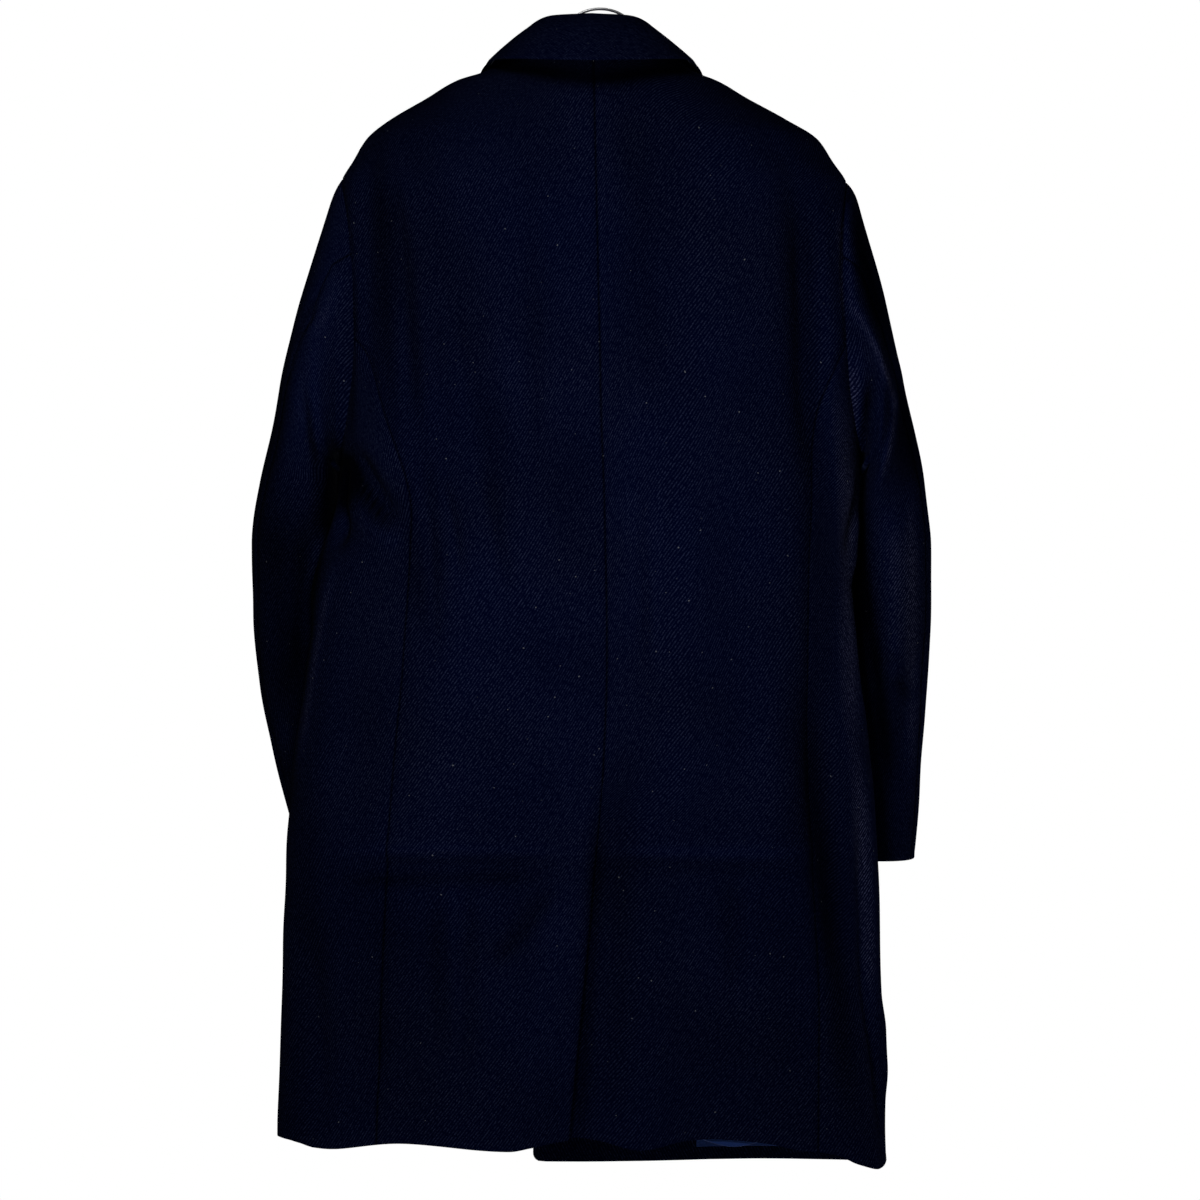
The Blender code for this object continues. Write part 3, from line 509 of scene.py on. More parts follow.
def folds(table: Table, across: Array, along: Array) -> Array:
    """Sum of folds: each is a bell across its leaning line and fades at both of its ends.

    Args:
        table: the folds.
        across: girth or turn.
        along: height or ring.

    Returns:
        How far the cloth stands out.
    """
    place, middle, length, width, depth, lean = table.rows.T
    run = (along[..., None] - middle) / length
    off = (across[..., None] - place - lean * run) / width
    return (depth * bell(off) * (1 - step(np.abs(run), *FOLD_FADE))).sum(axis=-1)


def creases(table: Table, points: Array) -> Array:
    """Sum of creases: a bell across each bowed line, plus the bell's slope as its lip.

    Args:
        table: the creases, or strokes of nap.
        points: places, of which X and Z count.

    Returns:
        How far the cloth stands out, or the stroke's lightness.
    """
    from_x, from_z, to_x, to_z, width, depth, bow, lip = table.rows.T
    run_x, run_z = to_x - from_x, to_z - from_z
    length = np.hypot(run_x, run_z)
    past_x, past_z = points[..., :1] - from_x, points[..., 2:] - from_z
    along = (past_x * run_x + past_z * run_z) / length**2
    off = (past_z * run_x - past_x * run_z) / length - bow * 4 * along * (1 - along)
    off = off / width
    fade = 1 - step(np.abs(along - 0.5), *CREASE_FADE)
    return (fade * bell(off) * (depth + lip * off)).sum(axis=-1)


def uneven(points: Array, waves: int = 28, seed: int = 7) -> Array:
    """Slow unevenness of hung cloth: a sum of plane waves, the longer the wave the higher.

    Args:
        points: places in space.
        waves: how many waves are summed.
        seed: picks the waves' directions and phases.

    Returns:
        A height between about -1 and 1 at each place.
    """
    draw = np.random.default_rng(seed)
    size = draw.uniform(*WAVE_SIZES, waves)
    heading = unit(draw.normal(size=(waves, 3)) * WAVE_LEAN)
    phase = draw.uniform(0, TAU, waves)
    weight = size / np.sqrt((size**2).sum())
    return (np.sin(points @ (heading * TAU / size[:, None]).T + phase) * weight).sum(axis=-1)


def normals(surface: Surface, first: Array, second: Array, ends: Pair) -> Array:
    """Unit normals of a surface: the cross product of its two slopes, each over a small step.

    Args:
        surface: points as a function of two parameters.
        first: the first parameter.
        second: the second parameter.
        ends: the lowest and highest second parameter.

    Returns:
        One normal for each place.
    """
    low, high = np.maximum(second - NUDGE, ends[0]), np.minimum(second + NUDGE, ends[1])
    around = surface(first + NUDGE, second) - surface(first - NUDGE, second)
    return unit(np.cross(around, surface(first, high) - surface(first, low)))


def crowded(length: float, spacing: float) -> Array:
    """Shares of a length from 0 to 1, even in the middle and crowded where the edges are rounded.

    Args:
        length: the whole length.
        spacing: the distance between places in the middle.

    Returns:
        The shares.
    """
    last = EDGE_STEPS[-1]
    middle = np.linspace(last, length - last, max(2, round((length - 2 * last) / spacing) + 1))
    return np.concatenate([EDGE_STEPS[:-1], middle, length - EDGE_STEPS[-2::-1]]) / length


def spread(first: Array, last: Array, shares: Array) -> Array:
    """Columns between two lines, at the same shares in each row."""
    return first[:, None] + (last - first)[:, None] * shares


def run_along(points: Array, axis: int) -> Array:
    """Distance down a grid's rows (axis 0) or along its columns (axis 1), summed from the first one."""
    gaps = np.linalg.norm(np.diff(points, axis=axis), axis=-1)
    return np.concatenate([np.zeros_like(gaps.take([0], axis=axis)), np.cumsum(gaps, axis=axis)], axis=axis)


def evened(surface: Surface, first: float, second: Array, spacing: float) -> Array:
    """Second parameters that lie evenly along a line of one first parameter, crowded at both ends."""
    run = run_along(surface(np.full_like(second, first), second), 0)
    return np.interp(crowded(run[-1], spacing) * run[-1], run, second)


@dataclass(frozen=True)
class Armhole:
    """An armhole's top and bottom, and how far it reaches to the back and to the front."""

    top: float
    bottom: float
    back: float = 0.041
    front: float = 0.043
    square: float = 2.2

    @property
    def middle(self) -> float:
        """The height halfway."""
        return (self.top + self.bottom) / 2

    @property
    def half(self) -> float:
        """Half of its height."""
        return (self.top - self.bottom) / 2


ARMHOLES = {Side.LEFT: Armhole(-0.152, -0.396), Side.RIGHT: Armhole(-0.155, -0.398)}


@dataclass(frozen=True)
class BodyCloth:
    """The body's one cloth surface, which the backs, sides and fronts are cut from.

    Girth runs in half turns from the centre back, + to the wearer's right. Height is the level before
    the neckline and the hem bend it.
    """

    wall: float = 0.0024
    layer_gap: float = 0.0008
    seam_gap: float = 0.00004
    neck: float = -0.046
    hem: float = -1.020
    neck_drop: float = 0.006
    neck_reach: float = 0.080
    hem_reach: float = 0.200
    band_level: float = -0.757
    band_depth: float = 0.0035
    band_above: float = 0.090
    band_below: float = 0.022
    band_facing: Pair = (0.2, 0.6)
    crease_facing: Pair = (0.05, 0.3)
    unevenness: float = 0.0011
    creased: bool = True
    side_seam: float = 0.640
    samples: int = 1500

    def line(self, girth: Array, height: Array) -> Array:
        """Points of the cloth's outer face: a super-ellipse at each height, swollen by folds and creases.

        Args:
            girth: places around the body.
            height: levels on the body.

        Returns:
            A point for each place.
        """
        centre, half_width, back, front, square = TORSO.all_at(height)
        sine, cosine = np.sin(girth * math.pi), np.cos(girth * math.pi)
        size = super_size(sine, cosine, square)
        across, along = sine * size, -cosine * size
        depth = np.where(cosine > 0, back, front)
        facing = joined(
            np.sign(across) * np.abs(across) ** (square - 1) / half_width,
            np.sign(along) * np.abs(along) ** (square - 1) / depth,
        )
        drop = self.neck_drop * step(height, self.neck - self.neck_reach, self.neck) * np.maximum(cosine, 0)
        bend = HEM_LINE.at("level", girth) - self.hem
        bend = bend * step(-height, -self.hem - self.hem_reach, -self.hem)
        points = joined(centre + half_width * across, depth * along, height - drop + bend)
        above = np.exp(-np.maximum(height - self.band_level, 0) / self.band_above)
        below = np.exp(-np.maximum(self.band_level - height, 0) / self.band_below)
        swell = folds(BODY_FOLDS, girth, height)
        swell = swell + self.band_depth * above * below * step(cosine, *self.band_facing)
        if self.creased:
            swell = swell + step(cosine, *self.crease_facing) * creases(BACK_CREASES, points)
            swell = swell + step(-cosine, *self.crease_facing) * creases(FRONT_CREASES, points)
            swell = swell + self.unevenness * uneven(points)
        points[..., :2] += swell[..., None] * unit(facing)
        return points

    def points(self, girth: Array, height: Array, out: Array | float = 0.0) -> Array:
        """Points of the cloth moved out along its normal.

        Args:
            girth: places around the body.
            height: levels on the body.
            out: how far each point is moved.

        Returns:
            A point for each place.
        """
        girth, height, out = np.broadcast_arrays(girth, height, out)
        normal = normals(self.line, girth, height, (self.hem, self.neck))
        return self.line(girth, height) + out[..., None] * normal

    def beside_seam(self, girth: Array, height: Array, way: int) -> Array:
        """A seam's line moved by half of the seam's gap, towards + or - girth."""
        run = self.line(girth + NUDGE, height) - self.line(girth - NUDGE, height)
        return girth + way * self.seam_gap * NUDGE / np.linalg.norm(run, axis=-1)

    def girth_at_x(self, side: Side, x: Array, height: Array, face: Face) -> Array:
        """The girth where the cloth passes x, from the section's super-ellipse.

        Args:
            side: the half of the body.
            x: places across.
            height: levels on the body.
            face: the back or the front.

        Returns:
            The girth at each place.
        """
        centre, half_width, _, _, square = TORSO.all_at(height)
        across = np.clip(side * (x - centre) / half_width, -ALMOST, ALMOST)
        turn = np.arctan2(across, (1 - np.abs(across) ** square) ** (1 / square)) / math.pi
        return side * (turn if face == Face.BACK else 1 - turn)

    def girth_at_y(self, side: Side, y: Array, height: Array) -> Array:
        """The girth where the cloth passes y on one side.

        Args:
            side: the half of the body.
            y: places from back to front.
            height: levels on the body.

        Returns:
            The girth at each place.
        """
        _, _, back, front, square = TORSO.all_at(height)
        along = np.clip(np.abs(y) / np.where(y < 0, back, front), 0.0, ALMOST)
        turn = np.arctan2((1 - along**square) ** (1 / square), along) / math.pi
        return side * np.where(y < 0, turn, 1 - turn)

    def armhole(self, side: Side, turn: Array, inset: float = 0.0) -> tuple[Array, Array]:
        """The armhole's line, a super-ellipse laid on the body.

        Args:
            side: the arm's side.
            turn: places around it; 0 is its top and a quarter turn its back edge.
            inset: how much smaller the line is.

        Returns:
            Girth and height at each place.
        """
        hole = ARMHOLES[side]
        sine, cosine = np.sin(turn), np.cos(turn)
        size = super_size(sine, cosine, hole.square)
        height = hole.middle + (hole.half - inset) * cosine * size
        reach = np.where(sine > 0, hole.back, hole.front) - inset
        return self.girth_at_y(side, -reach * sine * size, height), height

    def armhole_edge(self, side: Side, height: Array, face: Face) -> Array:
        """The size of the girth of an armhole's back or front edge.

        Args:
            side: the arm's side.
            height: levels on the body.
            face: the back or the front edge.

        Returns:
            The girth's size at each level.
        """
        hole = ARMHOLES[side]
        off = np.clip(np.abs(height - hole.middle) / hole.half, 0.0, 1.0)
        reach = hole.back if face == Face.BACK else hole.front
        y = reach * (1 - off**hole.square) ** (1 / hole.square)
        return np.abs(self.girth_at_y(side, -face * np.maximum(y, TINY), height))

    def rows(self, bottom: float, top: float, spacing: float, guide: float, stops: Sequence = ()) -> Array:
        """Levels that are evenly spaced along the cloth, crowd at both ends and pass through the stops.

        Args:
            bottom: the lowest level.
            top: the highest level.
            spacing: the distance between rows.
            guide: the girth that the distance is measured along.
            stops: levels that the nearest row moves to.

        Returns:
            The levels, from the bottom up.
        """
        made = evened(self.line, guide, np.linspace(bottom, top, self.samples), spacing)
        for stop in stops:
            made[np.argmin(np.abs(made - stop))] = stop
        return made


def grid_faces(rows: int, columns: int, loop: bool = False) -> Array:
    """Quads of a grid of points.

    Args:
        rows: the grid's rows.
        columns: the grid's columns.
        loop: whether the last column joins the first one.

    Returns:
        Four point indices for each quad.
    """
    index = np.arange(rows * columns).reshape(rows, columns)
    near = index if loop else index[:, :-1]
    far = np.roll(index, -1, axis=1) if loop else index[:, 1:]
    return joined(near[:-1], far[:-1], far[1:], near[1:]).reshape(-1, 4)


def new_mesh(name: str, points: Array, quads: Array, material: Material) -> Obj:
    """A smooth object from points and quads.

    Args:
        name: the object's name.
        points: the vertices.
        quads: four indices for each face.
        material: its finish.

    Returns:
        The new object, linked to the scene.
    """
    mesh = bpy.data.meshes.new(name)
    points = np.ascontiguousarray(points.reshape(-1, 3), np.float32)
    mesh.vertices.add(len(points))
    mesh.vertices.foreach_set("co", points.ravel())
    mesh.loops.add(quads.size)
    mesh.loops.foreach_set("vertex_index", quads.astype(np.int32).ravel())
    mesh.polygons.add(len(quads))
    mesh.polygons.foreach_set("loop_start", np.arange(0, quads.size, 4, dtype=np.int32))
    mesh.polygons.foreach_set("use_smooth", np.ones(len(quads), bool))
    mesh.update(calc_edges=True)
    mesh.materials.append(material)
    obj = bpy.data.objects.new(name, mesh)
    bpy.context.scene.collection.objects.link(obj)
    return obj


def set_uv(obj: Obj, uv: Array) -> None:
    """Gives an object a UV map in metres, from one pair for each vertex.

    Args:
        obj: a mesh object.
        uv: the pairs.
    """
    loops = np.empty(len(obj.data.loops), np.int32)
    obj.data.loops.foreach_get("vertex_index", loops)
    layer = obj.data.uv_layers.new(name="cloth")
    layer.uv.foreach_set("vector", uv[loops].astype(np.float32).ravel())


def set_attribute(obj: Obj, name: str, values: Array) -> None:
    """Gives each vertex of an object a number."""
    made = obj.data.attributes.new(name, "FLOAT", "POINT")
    made.data.foreach_set("value", np.ascontiguousarray(values, np.float32))


class Output:
    """An output of a shader node that can be summed with numbers and with other outputs."""

    def __init__(self, graph: Graph, node: Node, index: int | str = 0) -> None:
        """Keeps the output and its graph."""
        self.graph, self.node = graph, node
        self.socket = node.outputs[index]

    def other(self, index: int | str) -> Output:
        """Another output of the same node."""
        return Output(self.graph, self.node, index)

    def __add__(self, value: Output | float) -> Output:
        """The sum."""
        return self.graph.math("ADD", self, value)

    def __sub__(self, value: Output | float) -> Output:
        """The difference."""
        return self.graph.math("SUBTRACT", self, value)

    def __rsub__(self, value: float) -> Output:
        """What is left of a number."""
        return self.graph.math("SUBTRACT", value, self)

    def __mul__(self, value: Output | float) -> Output:
        """The product."""
        return self.graph.math("MULTIPLY", self, value)

    def __truediv__(self, value: Output | float) -> Output:
        """The quotient."""
        return self.graph.math("DIVIDE", self, value)

    def ramp(self, low: float, high: float, start: float = 0.0, end: float = 1.0) -> Output:
        """The value mapped from low and high to start and end, and level beyond them."""
        limits = {"From Min": low, "From Max": high, "To Min": start, "To Max": end}
        return self.graph.add("MapRange", {"Value": self, **limits})


class Graph:
    """Adds nodes to a shader tree and links them."""

    def __init__(self, tree: bpy.types.NodeTree) -> None:
        """Keeps the tree."""
        self.tree = tree

    def fill(self, node: Node, inputs: dict) -> None:
        """Sets or links a node's inputs.

        Args:
            node: the node.
            inputs: a value or an output for each named or numbered input.
        """
        for name, value in inputs.items():
            socket = node.inputs[name]
            if isinstance(value, Output):
                self.tree.links.new(value.socket, socket)
            else:
                socket.default_value = (*value, 1.0) if socket.type == "RGBA" else value

    def add(self, kind: str, inputs: dict | None = None, **settings: object) -> Output:
        """A new node.

        Args:
            kind: the node's type without ShaderNode.
            inputs: a value or an output for each named or numbered input.
            settings: the node's own properties.

        Returns:
            The node's first output.
        """
        node = self.tree.nodes.new(kind if kind.startswith("Node") else "ShaderNode" + kind)
        for name, value in settings.items():
            setattr(node, name, value)
        self.fill(node, inputs or {})
        return Output(self, node)

    def math(self, operation: str, *values: Output | float) -> Output:
        """One sum of numbers or outputs."""
        return self.add("Math", dict(enumerate(values)), operation=operation)

    def vector(self, operation: str, first: Output | Triple, second: Output | Triple) -> Output:
        """One sum of vectors; SCALE takes a number as its second value."""
        place = "Scale" if operation == "SCALE" else 1
        return self.add("VectorMath", {0: first, place: second}, operation=operation)

    def mix(self, share: Output, first: Output | Colour, second: Output | Colour) -> Output:
        """A colour between two colours."""
        return self.add("Mix", {"Factor": share, 6: first, 7: second}, data_type="RGBA").other(2)

    def noise(self, vector: Output, scale: float, detail: float = 2.0, rough: float = 0.5) -> Output:
        """A noise texture."""
        values = {"Vector": vector, "Scale": scale, "Detail": detail, "Roughness": rough}
        return self.add("TexNoise", values)


@dataclass
class Groups:
    """The shader node groups that the finishes share, each built once."""

    drift_scale: float = 60.0
    drift: float = 1.6
    rib: Pair = (-0.35, 0.75)
    break_length: float = 0.60
    break_scale: float = 1.15
    break_rough: float = 0.7
    broken: Pair = (0.40, 0.62)
    shake_scale: float = 420.0
    shake: Triple = (0.0014, 0.0014, 0.0)
    speck: Pair = (0.014, 0.072)
    speck_light: Pair = (0.15, 0.85)

    def __post_init__(self) -> None:
        """Builds the groups."""
        self.twill = self.twill_group()
        self.lint = self.lint_group()

    def begin(self, name: str, inputs: str, outputs: str) -> tuple[Graph, list[Output]]:
        """Starts a group.

        Args:
            name: the group's name.
            inputs: its inputs' names, of which Vector is a vector and the others are numbers.
            outputs: the names of the numbers that it gives.

        Returns:
            Its graph, and its inputs as the nodes inside see them.
        """
        tree = bpy.data.node_groups.new(name, "ShaderNodeTree")
        for way, names in (("INPUT", inputs), ("OUTPUT", outputs)):
            for socket in names.split():
                kind = "NodeSocketVector" if socket == "Vector" else "NodeSocketFloat"
                tree.interface.new_socket(socket, in_out=way, socket_type=kind)
        source = Graph(tree).add("NodeGroupInput")
        return source.graph, [source.other(socket) for socket in inputs.split()]

    def end(self, graph: Graph, **outputs: Output) -> bpy.types.NodeTree:
        """Links what a group gives, and returns the group."""
        graph.fill(graph.tree.nodes.new("NodeGroupOutput"), outputs)
        return graph.tree

    def twill_group(self) -> bpy.types.NodeTree:
        """Diagonal ribs: a sharpened sine across slanting lines that noise bends and, along each rib, dims.

        Returns:
            The group, with the ribs' height and their broken lightness, each from 0 to 1.
        """
        graph, inputs = self.begin("twill", "Vector Pitch Slope Breaks", "Height Light")
        vector, pitch, slope, breaks = inputs
        drift = graph.noise(vector, self.drift_scale, 1.0) * self.drift
        u = graph.add("SeparateXYZ", {"Vector": vector})
        v = u.other(1)
        rise, run = graph.math("SINE", slope), graph.math("COSINE", slope)
        across, along = (u * rise - v * run) / pitch, (u * run + v * rise) / pitch
        height = graph.math("SINE", across * TAU + drift).ramp(*self.rib)
        stretched = graph.add("CombineXYZ", {0: across, 1: along * self.break_length})
        lit = graph.noise(stretched, self.break_scale, 2.0, self.break_rough).ramp(*self.broken)
        return self.end(graph, Height=height, Light=height * (1.0 - (1.0 - lit) * breaks))

    def lint_group(self) -> bpy.types.NodeTree:
        """Specks of lint: the heart of a cell, in the few cells whose random number is low.

        Returns:
            The group, with each speck's lightness.
        """
        graph, (vector, spacing, share) = self.begin("lint", "Vector Spacing Share", "Mask")
        noise = graph.noise(vector, self.shake_scale).other(1)
        shaken = graph.vector("MULTIPLY", noise, self.shake)
        moved = graph.vector("ADD", vector, shaken)
        cell = graph.add("TexVoronoi", {"Vector": moved, "Scale": graph.math("DIVIDE", 1.0, spacing)})
        number = graph.add("SeparateColor", {0: cell.other("Color")})
        there = graph.math("LESS_THAN", number, share)
        (least, more), (faint, light) = self.speck, self.speck_light
        heart = graph.math("LESS_THAN", cell.other("Distance"), number.other(1) * more + least)
        return self.end(graph, Mask=there * heart * (number.other(2) * light + faint))


class Finish:
    """A finish that becomes a material."""

    name: str

    def wire(self, graph: Graph, groups: Groups) -> dict:
        """What each input of the material's shader takes."""
        raise NotImplementedError

    def material(self, groups: Groups) -> Material:
        """The finish as a material.

        Args:
            groups: the shared node groups.

        Returns:
            The material.
        """
        material = bpy.data.materials.new(self.name)
        material.use_nodes = True
        graph = Graph(material.node_tree)
        graph.fill(material.node_tree.nodes["Principled BSDF"], self.wire(graph, groups))
        return material


@dataclass(frozen=True)
class WoolTwill(Finish):
    """Navy overcoat wool: steep broken twill ribs, greyer in patches, specks of lint, painted shade along
    seams, and strokes of painted shade and painted grey sheen with the nap.
    """

    name: str = "navy_wool_twill"
    groove: Colour = (0.00002, 0.00050, 0.0064)
    rib: Colour = (0.0074, 0.0102, 0.0288)
    grey: Colour = (0.0116, 0.0144, 0.0312)
    # A grey painted sheen, added where the strokes are lightest, for fibres that catch the light.
    painted_sheen_colour: Colour = (0.020, 0.0205, 0.036)
    lint: Colour = (0.060, 0.064, 0.076)
    sheen: Colour = (0.9, 0.95, 1.0)
    pitch: float = 0.0024
    slope: float = math.radians(57)
    breaks: float = 0.92
    relief: float = 0.00030
    lint_spacing: float = 0.009
    lint_share: float = 0.62
    # How much the painted shade along the seams darkens the colour.
    seam_painted_shade: float = 0.62
    # Strokes up to plain scale the colour for painted light and shade, no lower than the darkest painted
    # shade; above plain they add the painted sheen.
    plain: float = 0.30
    darkest_painted_shade: float = 0.12
    worn_scale: float = 7.0
    worn: Pair = (0.30, 0.75)
    fibre_scale: float = 900.0
    fibre: Pair = (0.3, 0.7)
    fibre_most: float = 1.6
    # How much painted sheen the strokes add, in the twill's grooves and on its light ribs.
    painted_sheen: Pair = (0.10, 2.6)
    bump: float = 0.9
    rough: Pair = (0.95, 0.80)
    sheen_weight: float = 0.002
    sheen_rough: float = 0.40

    def wire(self, graph: Graph, groups: Groups) -> dict:
        """Ribs and lint on the piece's own UV map. The nap attribute's strokes of painted light and shade,
        with the nap, lighten or darken them and add a painted grey sheen; the edge attribute paints shade
        along the seams.

        Args:
            graph: the material's graph.
            groups: the shared node groups.

        Returns:
            What each input of the shader takes.
        """
        uv = graph.add("UVMap", uv_map="cloth")
        ribs = {"Vector": uv, "Pitch": self.pitch, "Slope": self.slope, "Breaks": self.breaks}
        height = graph.add("Group", ribs, node_tree=groups.twill)
        light = height.other(1)
        specks = {"Vector": uv, "Spacing": self.lint_spacing, "Share": self.lint_share}
        lint = graph.add("Group", specks, node_tree=groups.lint)
        worn = graph.noise(uv, self.worn_scale, 1.0).ramp(*self.worn)
        fibre = graph.noise(uv, self.fibre_scale)
        fleck = graph.math("MINIMUM", light * fibre.ramp(*self.fibre, end=self.fibre_most), 1.0)
        ribbed = graph.mix(fleck, self.groove, graph.mix(worn, self.rib, self.grey))
        specked = graph.mix(lint, ribbed, self.lint)
        # The edge attribute is painted shade along the seams; the nap attribute scales the colour for
        # painted light and shade with the nap.
        nap_and_painted_light, edge = (graph.add("Attribute", attribute_name=name).other("Fac") for name in ("nap_and_painted_light", "edge"))
        laid = graph.math("MAXIMUM", graph.math("MINIMUM", nap_and_painted_light, self.plain) + 1.0, self.darkest_painted_shade)
        toned = graph.vector("SCALE", specked, laid * (1.0 - edge * self.seam_painted_shade))
        # Above plain, the strokes add a painted grey sheen.
        painted_sheen_share = graph.math("MAXIMUM", nap_and_painted_light - self.plain, 0.0)
        least, more = self.painted_sheen
        painted_sheen = graph.vector("SCALE", self.painted_sheen_colour, painted_sheen_share * (fleck * more + least))
        bump = {"Strength": self.bump, "Distance": self.relief, "Height": light + fibre * 0.5}
        return {
            "Base Color": graph.vector("ADD", toned, painted_sheen),
            "Roughness": height.ramp(0.0, 1.0, *self.rough),
            "Normal": graph.add("Bump", bump),
            "Specular IOR Level": 0.0,
            "Sheen Weight": self.sheen_weight,
            "Sheen Roughness": self.sheen_rough,
            "Sheen Tint": self.sheen,
        }


@dataclass(frozen=True)
class LiningSatin(Finish):
    """Shiny blue lining with a fine slanting weave."""

    name: str = "blue_lining_satin"
    dark: Colour = (0.003, 0.009, 0.048)
    light: Colour = (0.012, 0.032, 0.125)
    pitch: float = 0.0008
    slope: float = math.radians(45)
    breaks: float = 0.15
    relief: float = 0.00005
    patch_scale: float = 40.0
    patch_light: float = 0.4
    rough: Pair = (0.40, 0.55)
    specular: float = 0.06

    def wire(self, graph: Graph, groups: Groups) -> dict:
        """A weave on the piece's own UV map, lighter in patches.

        Args:
            graph: the material's graph.
            groups: the shared node groups.

        Returns:
            What each input of the shader takes.
        """
        uv = graph.add("UVMap", uv_map="cloth")
        lines = {"Vector": uv, "Pitch": self.pitch, "Slope": self.slope, "Breaks": self.breaks}
        weave = graph.add("Group", lines, node_tree=groups.twill)
        patch = graph.noise(uv, self.patch_scale, 3.0)
        return {
            "Base Color": graph.mix(weave * (patch + self.patch_light), self.dark, self.light),
            "Roughness": patch.ramp(0.0, 1.0, *self.rough),
            "Normal": graph.add("Bump", {"Strength": 0.5, "Distance": self.relief, "Height": weave}),
            "Specular IOR Level": self.specular,
        }


@dataclass(frozen=True)
class Grained(Finish):
    """A plain solid's finish: noise on Object coordinates grades its colour and its roughness."""

    name: str
    first: Colour
    second: Colour
    rough: Pair
    scale: float
    detail: float = 2.0
    distortion: float = 0.0
    stretch: Triple = (1.0, 1.0, 1.0)
    span: Pair = (0.0, 1.0)
    specular: float = 0.5
    coat: float = 0.0
    metal: float = 0.0
    bump: Pair = (0.0, 0.0)

    def wire(self, graph: Graph, groups: Groups) -> dict:
        """The stretched noise, mixed into colour, roughness and, where there is a bump, relief.

        Args:
            graph: the material's graph.
            groups: the shared node groups; not used.

        Returns:
            What each input of the shader takes.
        """
        place = graph.add("TexCoord").other("Object")
        long = graph.add("Mapping", {"Vector": place, "Scale": self.stretch})
        grain = graph.noise(long, self.scale, self.detail)
        graph.fill(grain.node, {"Distortion": self.distortion})
        values = {
            "Base Color": graph.mix(grain.ramp(*self.span), self.first, self.second),
            "Roughness": grain.ramp(0.0, 1.0, *self.rough),
            "Specular IOR Level": self.specular,
            "Coat Weight": self.coat,
            "Metallic": self.metal,
        }
        if self.bump[0]:
            bump = dict(zip(("Strength", "Distance"), self.bump), Height=grain)
            values["Normal"] = graph.add("Bump", bump)
        return values


@dataclass(frozen=True)
class Thread(Grained):
    """Sewing thread a shade lighter than the wool, with a fine twist."""

    name: str = "navy_thread"
    first: Colour = (0.0200, 0.0230, 0.0380)
    second: Colour = (0.0500, 0.0550, 0.0780)
    rough: Pair = (0.5, 0.8)
    scale: float = 2400.0
    specular: float = 0.2


@dataclass(frozen=True)
class DarkHorn(Grained):
    """Button horn: near black with brown streaks and a satin polish."""

    name: str = "dark_horn"
    first: Colour = (0.006, 0.005, 0.006)
    second: Colour = (0.035, 0.022, 0.014)
    rough: Pair = (0.25, 0.42)
    scale: float = 1.0
    detail: float = 4.0
    stretch: Triple = (60.0, 60.0, 700.0)
    span: Pair = (0.5, 0.75)


@dataclass(frozen=True)
class HangerWood(Grained):
    """Varnished beech with grain along the hanger's arms."""

    name: str = "hanger_wood"
    first: Colour = (0.330, 0.190, 0.095)
    second: Colour = (0.170, 0.085, 0.038)
    rough: Pair = (0.30, 0.45)
    scale: float = 1.4
    detail: float = 6.0
    distortion: float = 0.6
    stretch: Triple = (7.0, 90.0, 90.0)
    span: Pair = (0.35, 0.65)
    coat: float = 0.25
    bump: Pair = (0.25, 0.0003)


@dataclass(frozen=True)
class HookSteel(Grained):
    """Plated steel wire with fine drawing marks."""

    name: str = "hook_steel"
    first: Colour = (0.62, 0.62, 0.63)
    second: Colour = (0.36, 0.36, 0.37)
    rough: Pair = (0.22, 0.45)
    scale: float = 600.0
    detail: float = 4.0
    metal: float = 1.0


@dataclass(frozen=True)
class PaleFloor(Grained):
    """The studio's floor."""

    name: str = "pale_floor"
    first: Colour = (0.86, 0.86, 0.86)
    second: Colour = (0.90, 0.90, 0.90)
    rough: Pair = (0.9, 0.9)
    scale: float = 1.5


class Slot(Enum):
    """The record's material slots."""

    WOOL = "wool"
    LINING = "lining"
    BUTTON = "button"
    HANGER = "hanger"
    HOOK = "hook"


class Wardrobe:
    """The finishes as materials, and the calls that place a finished piece on the part."""

    def __init__(self) -> None:
        """Builds every material once."""
        groups = Groups()
        finishes = {
            Slot.WOOL: WoolTwill(),
            Slot.LINING: LiningSatin(),
            Slot.BUTTON: DarkHorn(),
            Slot.HANGER: HangerWood(),
            Slot.HOOK: HookSteel(),
        }
        self.finish = {slot: finish.material(groups) for slot, finish in finishes.items()}
        self.thread = Thread().material(groups)
        self.floor = PaleFloor().material(groups)

    def place(self, obj: Obj, slot: Slot, *nodes: str) -> None:
        """Makes a piece part of the coat.

        Args:
            obj: the finished piece.
            slot: the record's slot that it takes its finish from; not used.
            nodes: the solids that it stands for.
        """
        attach(obj, "root")
        if nodes:
            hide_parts(*nodes)
        LOG.info("%s: %d faces", obj.name, len(obj.data.polygons))

    def tube(self, name: str, rings: Array, slot: Slot, node: str) -> None:
        """Adds a tube through rings of points, which stands for a node."""
        quads = grid_faces(*rings.shape[:2], loop=True)
        self.place(new_mesh(name, rings, quads, self.finish[slot]), slot, node)


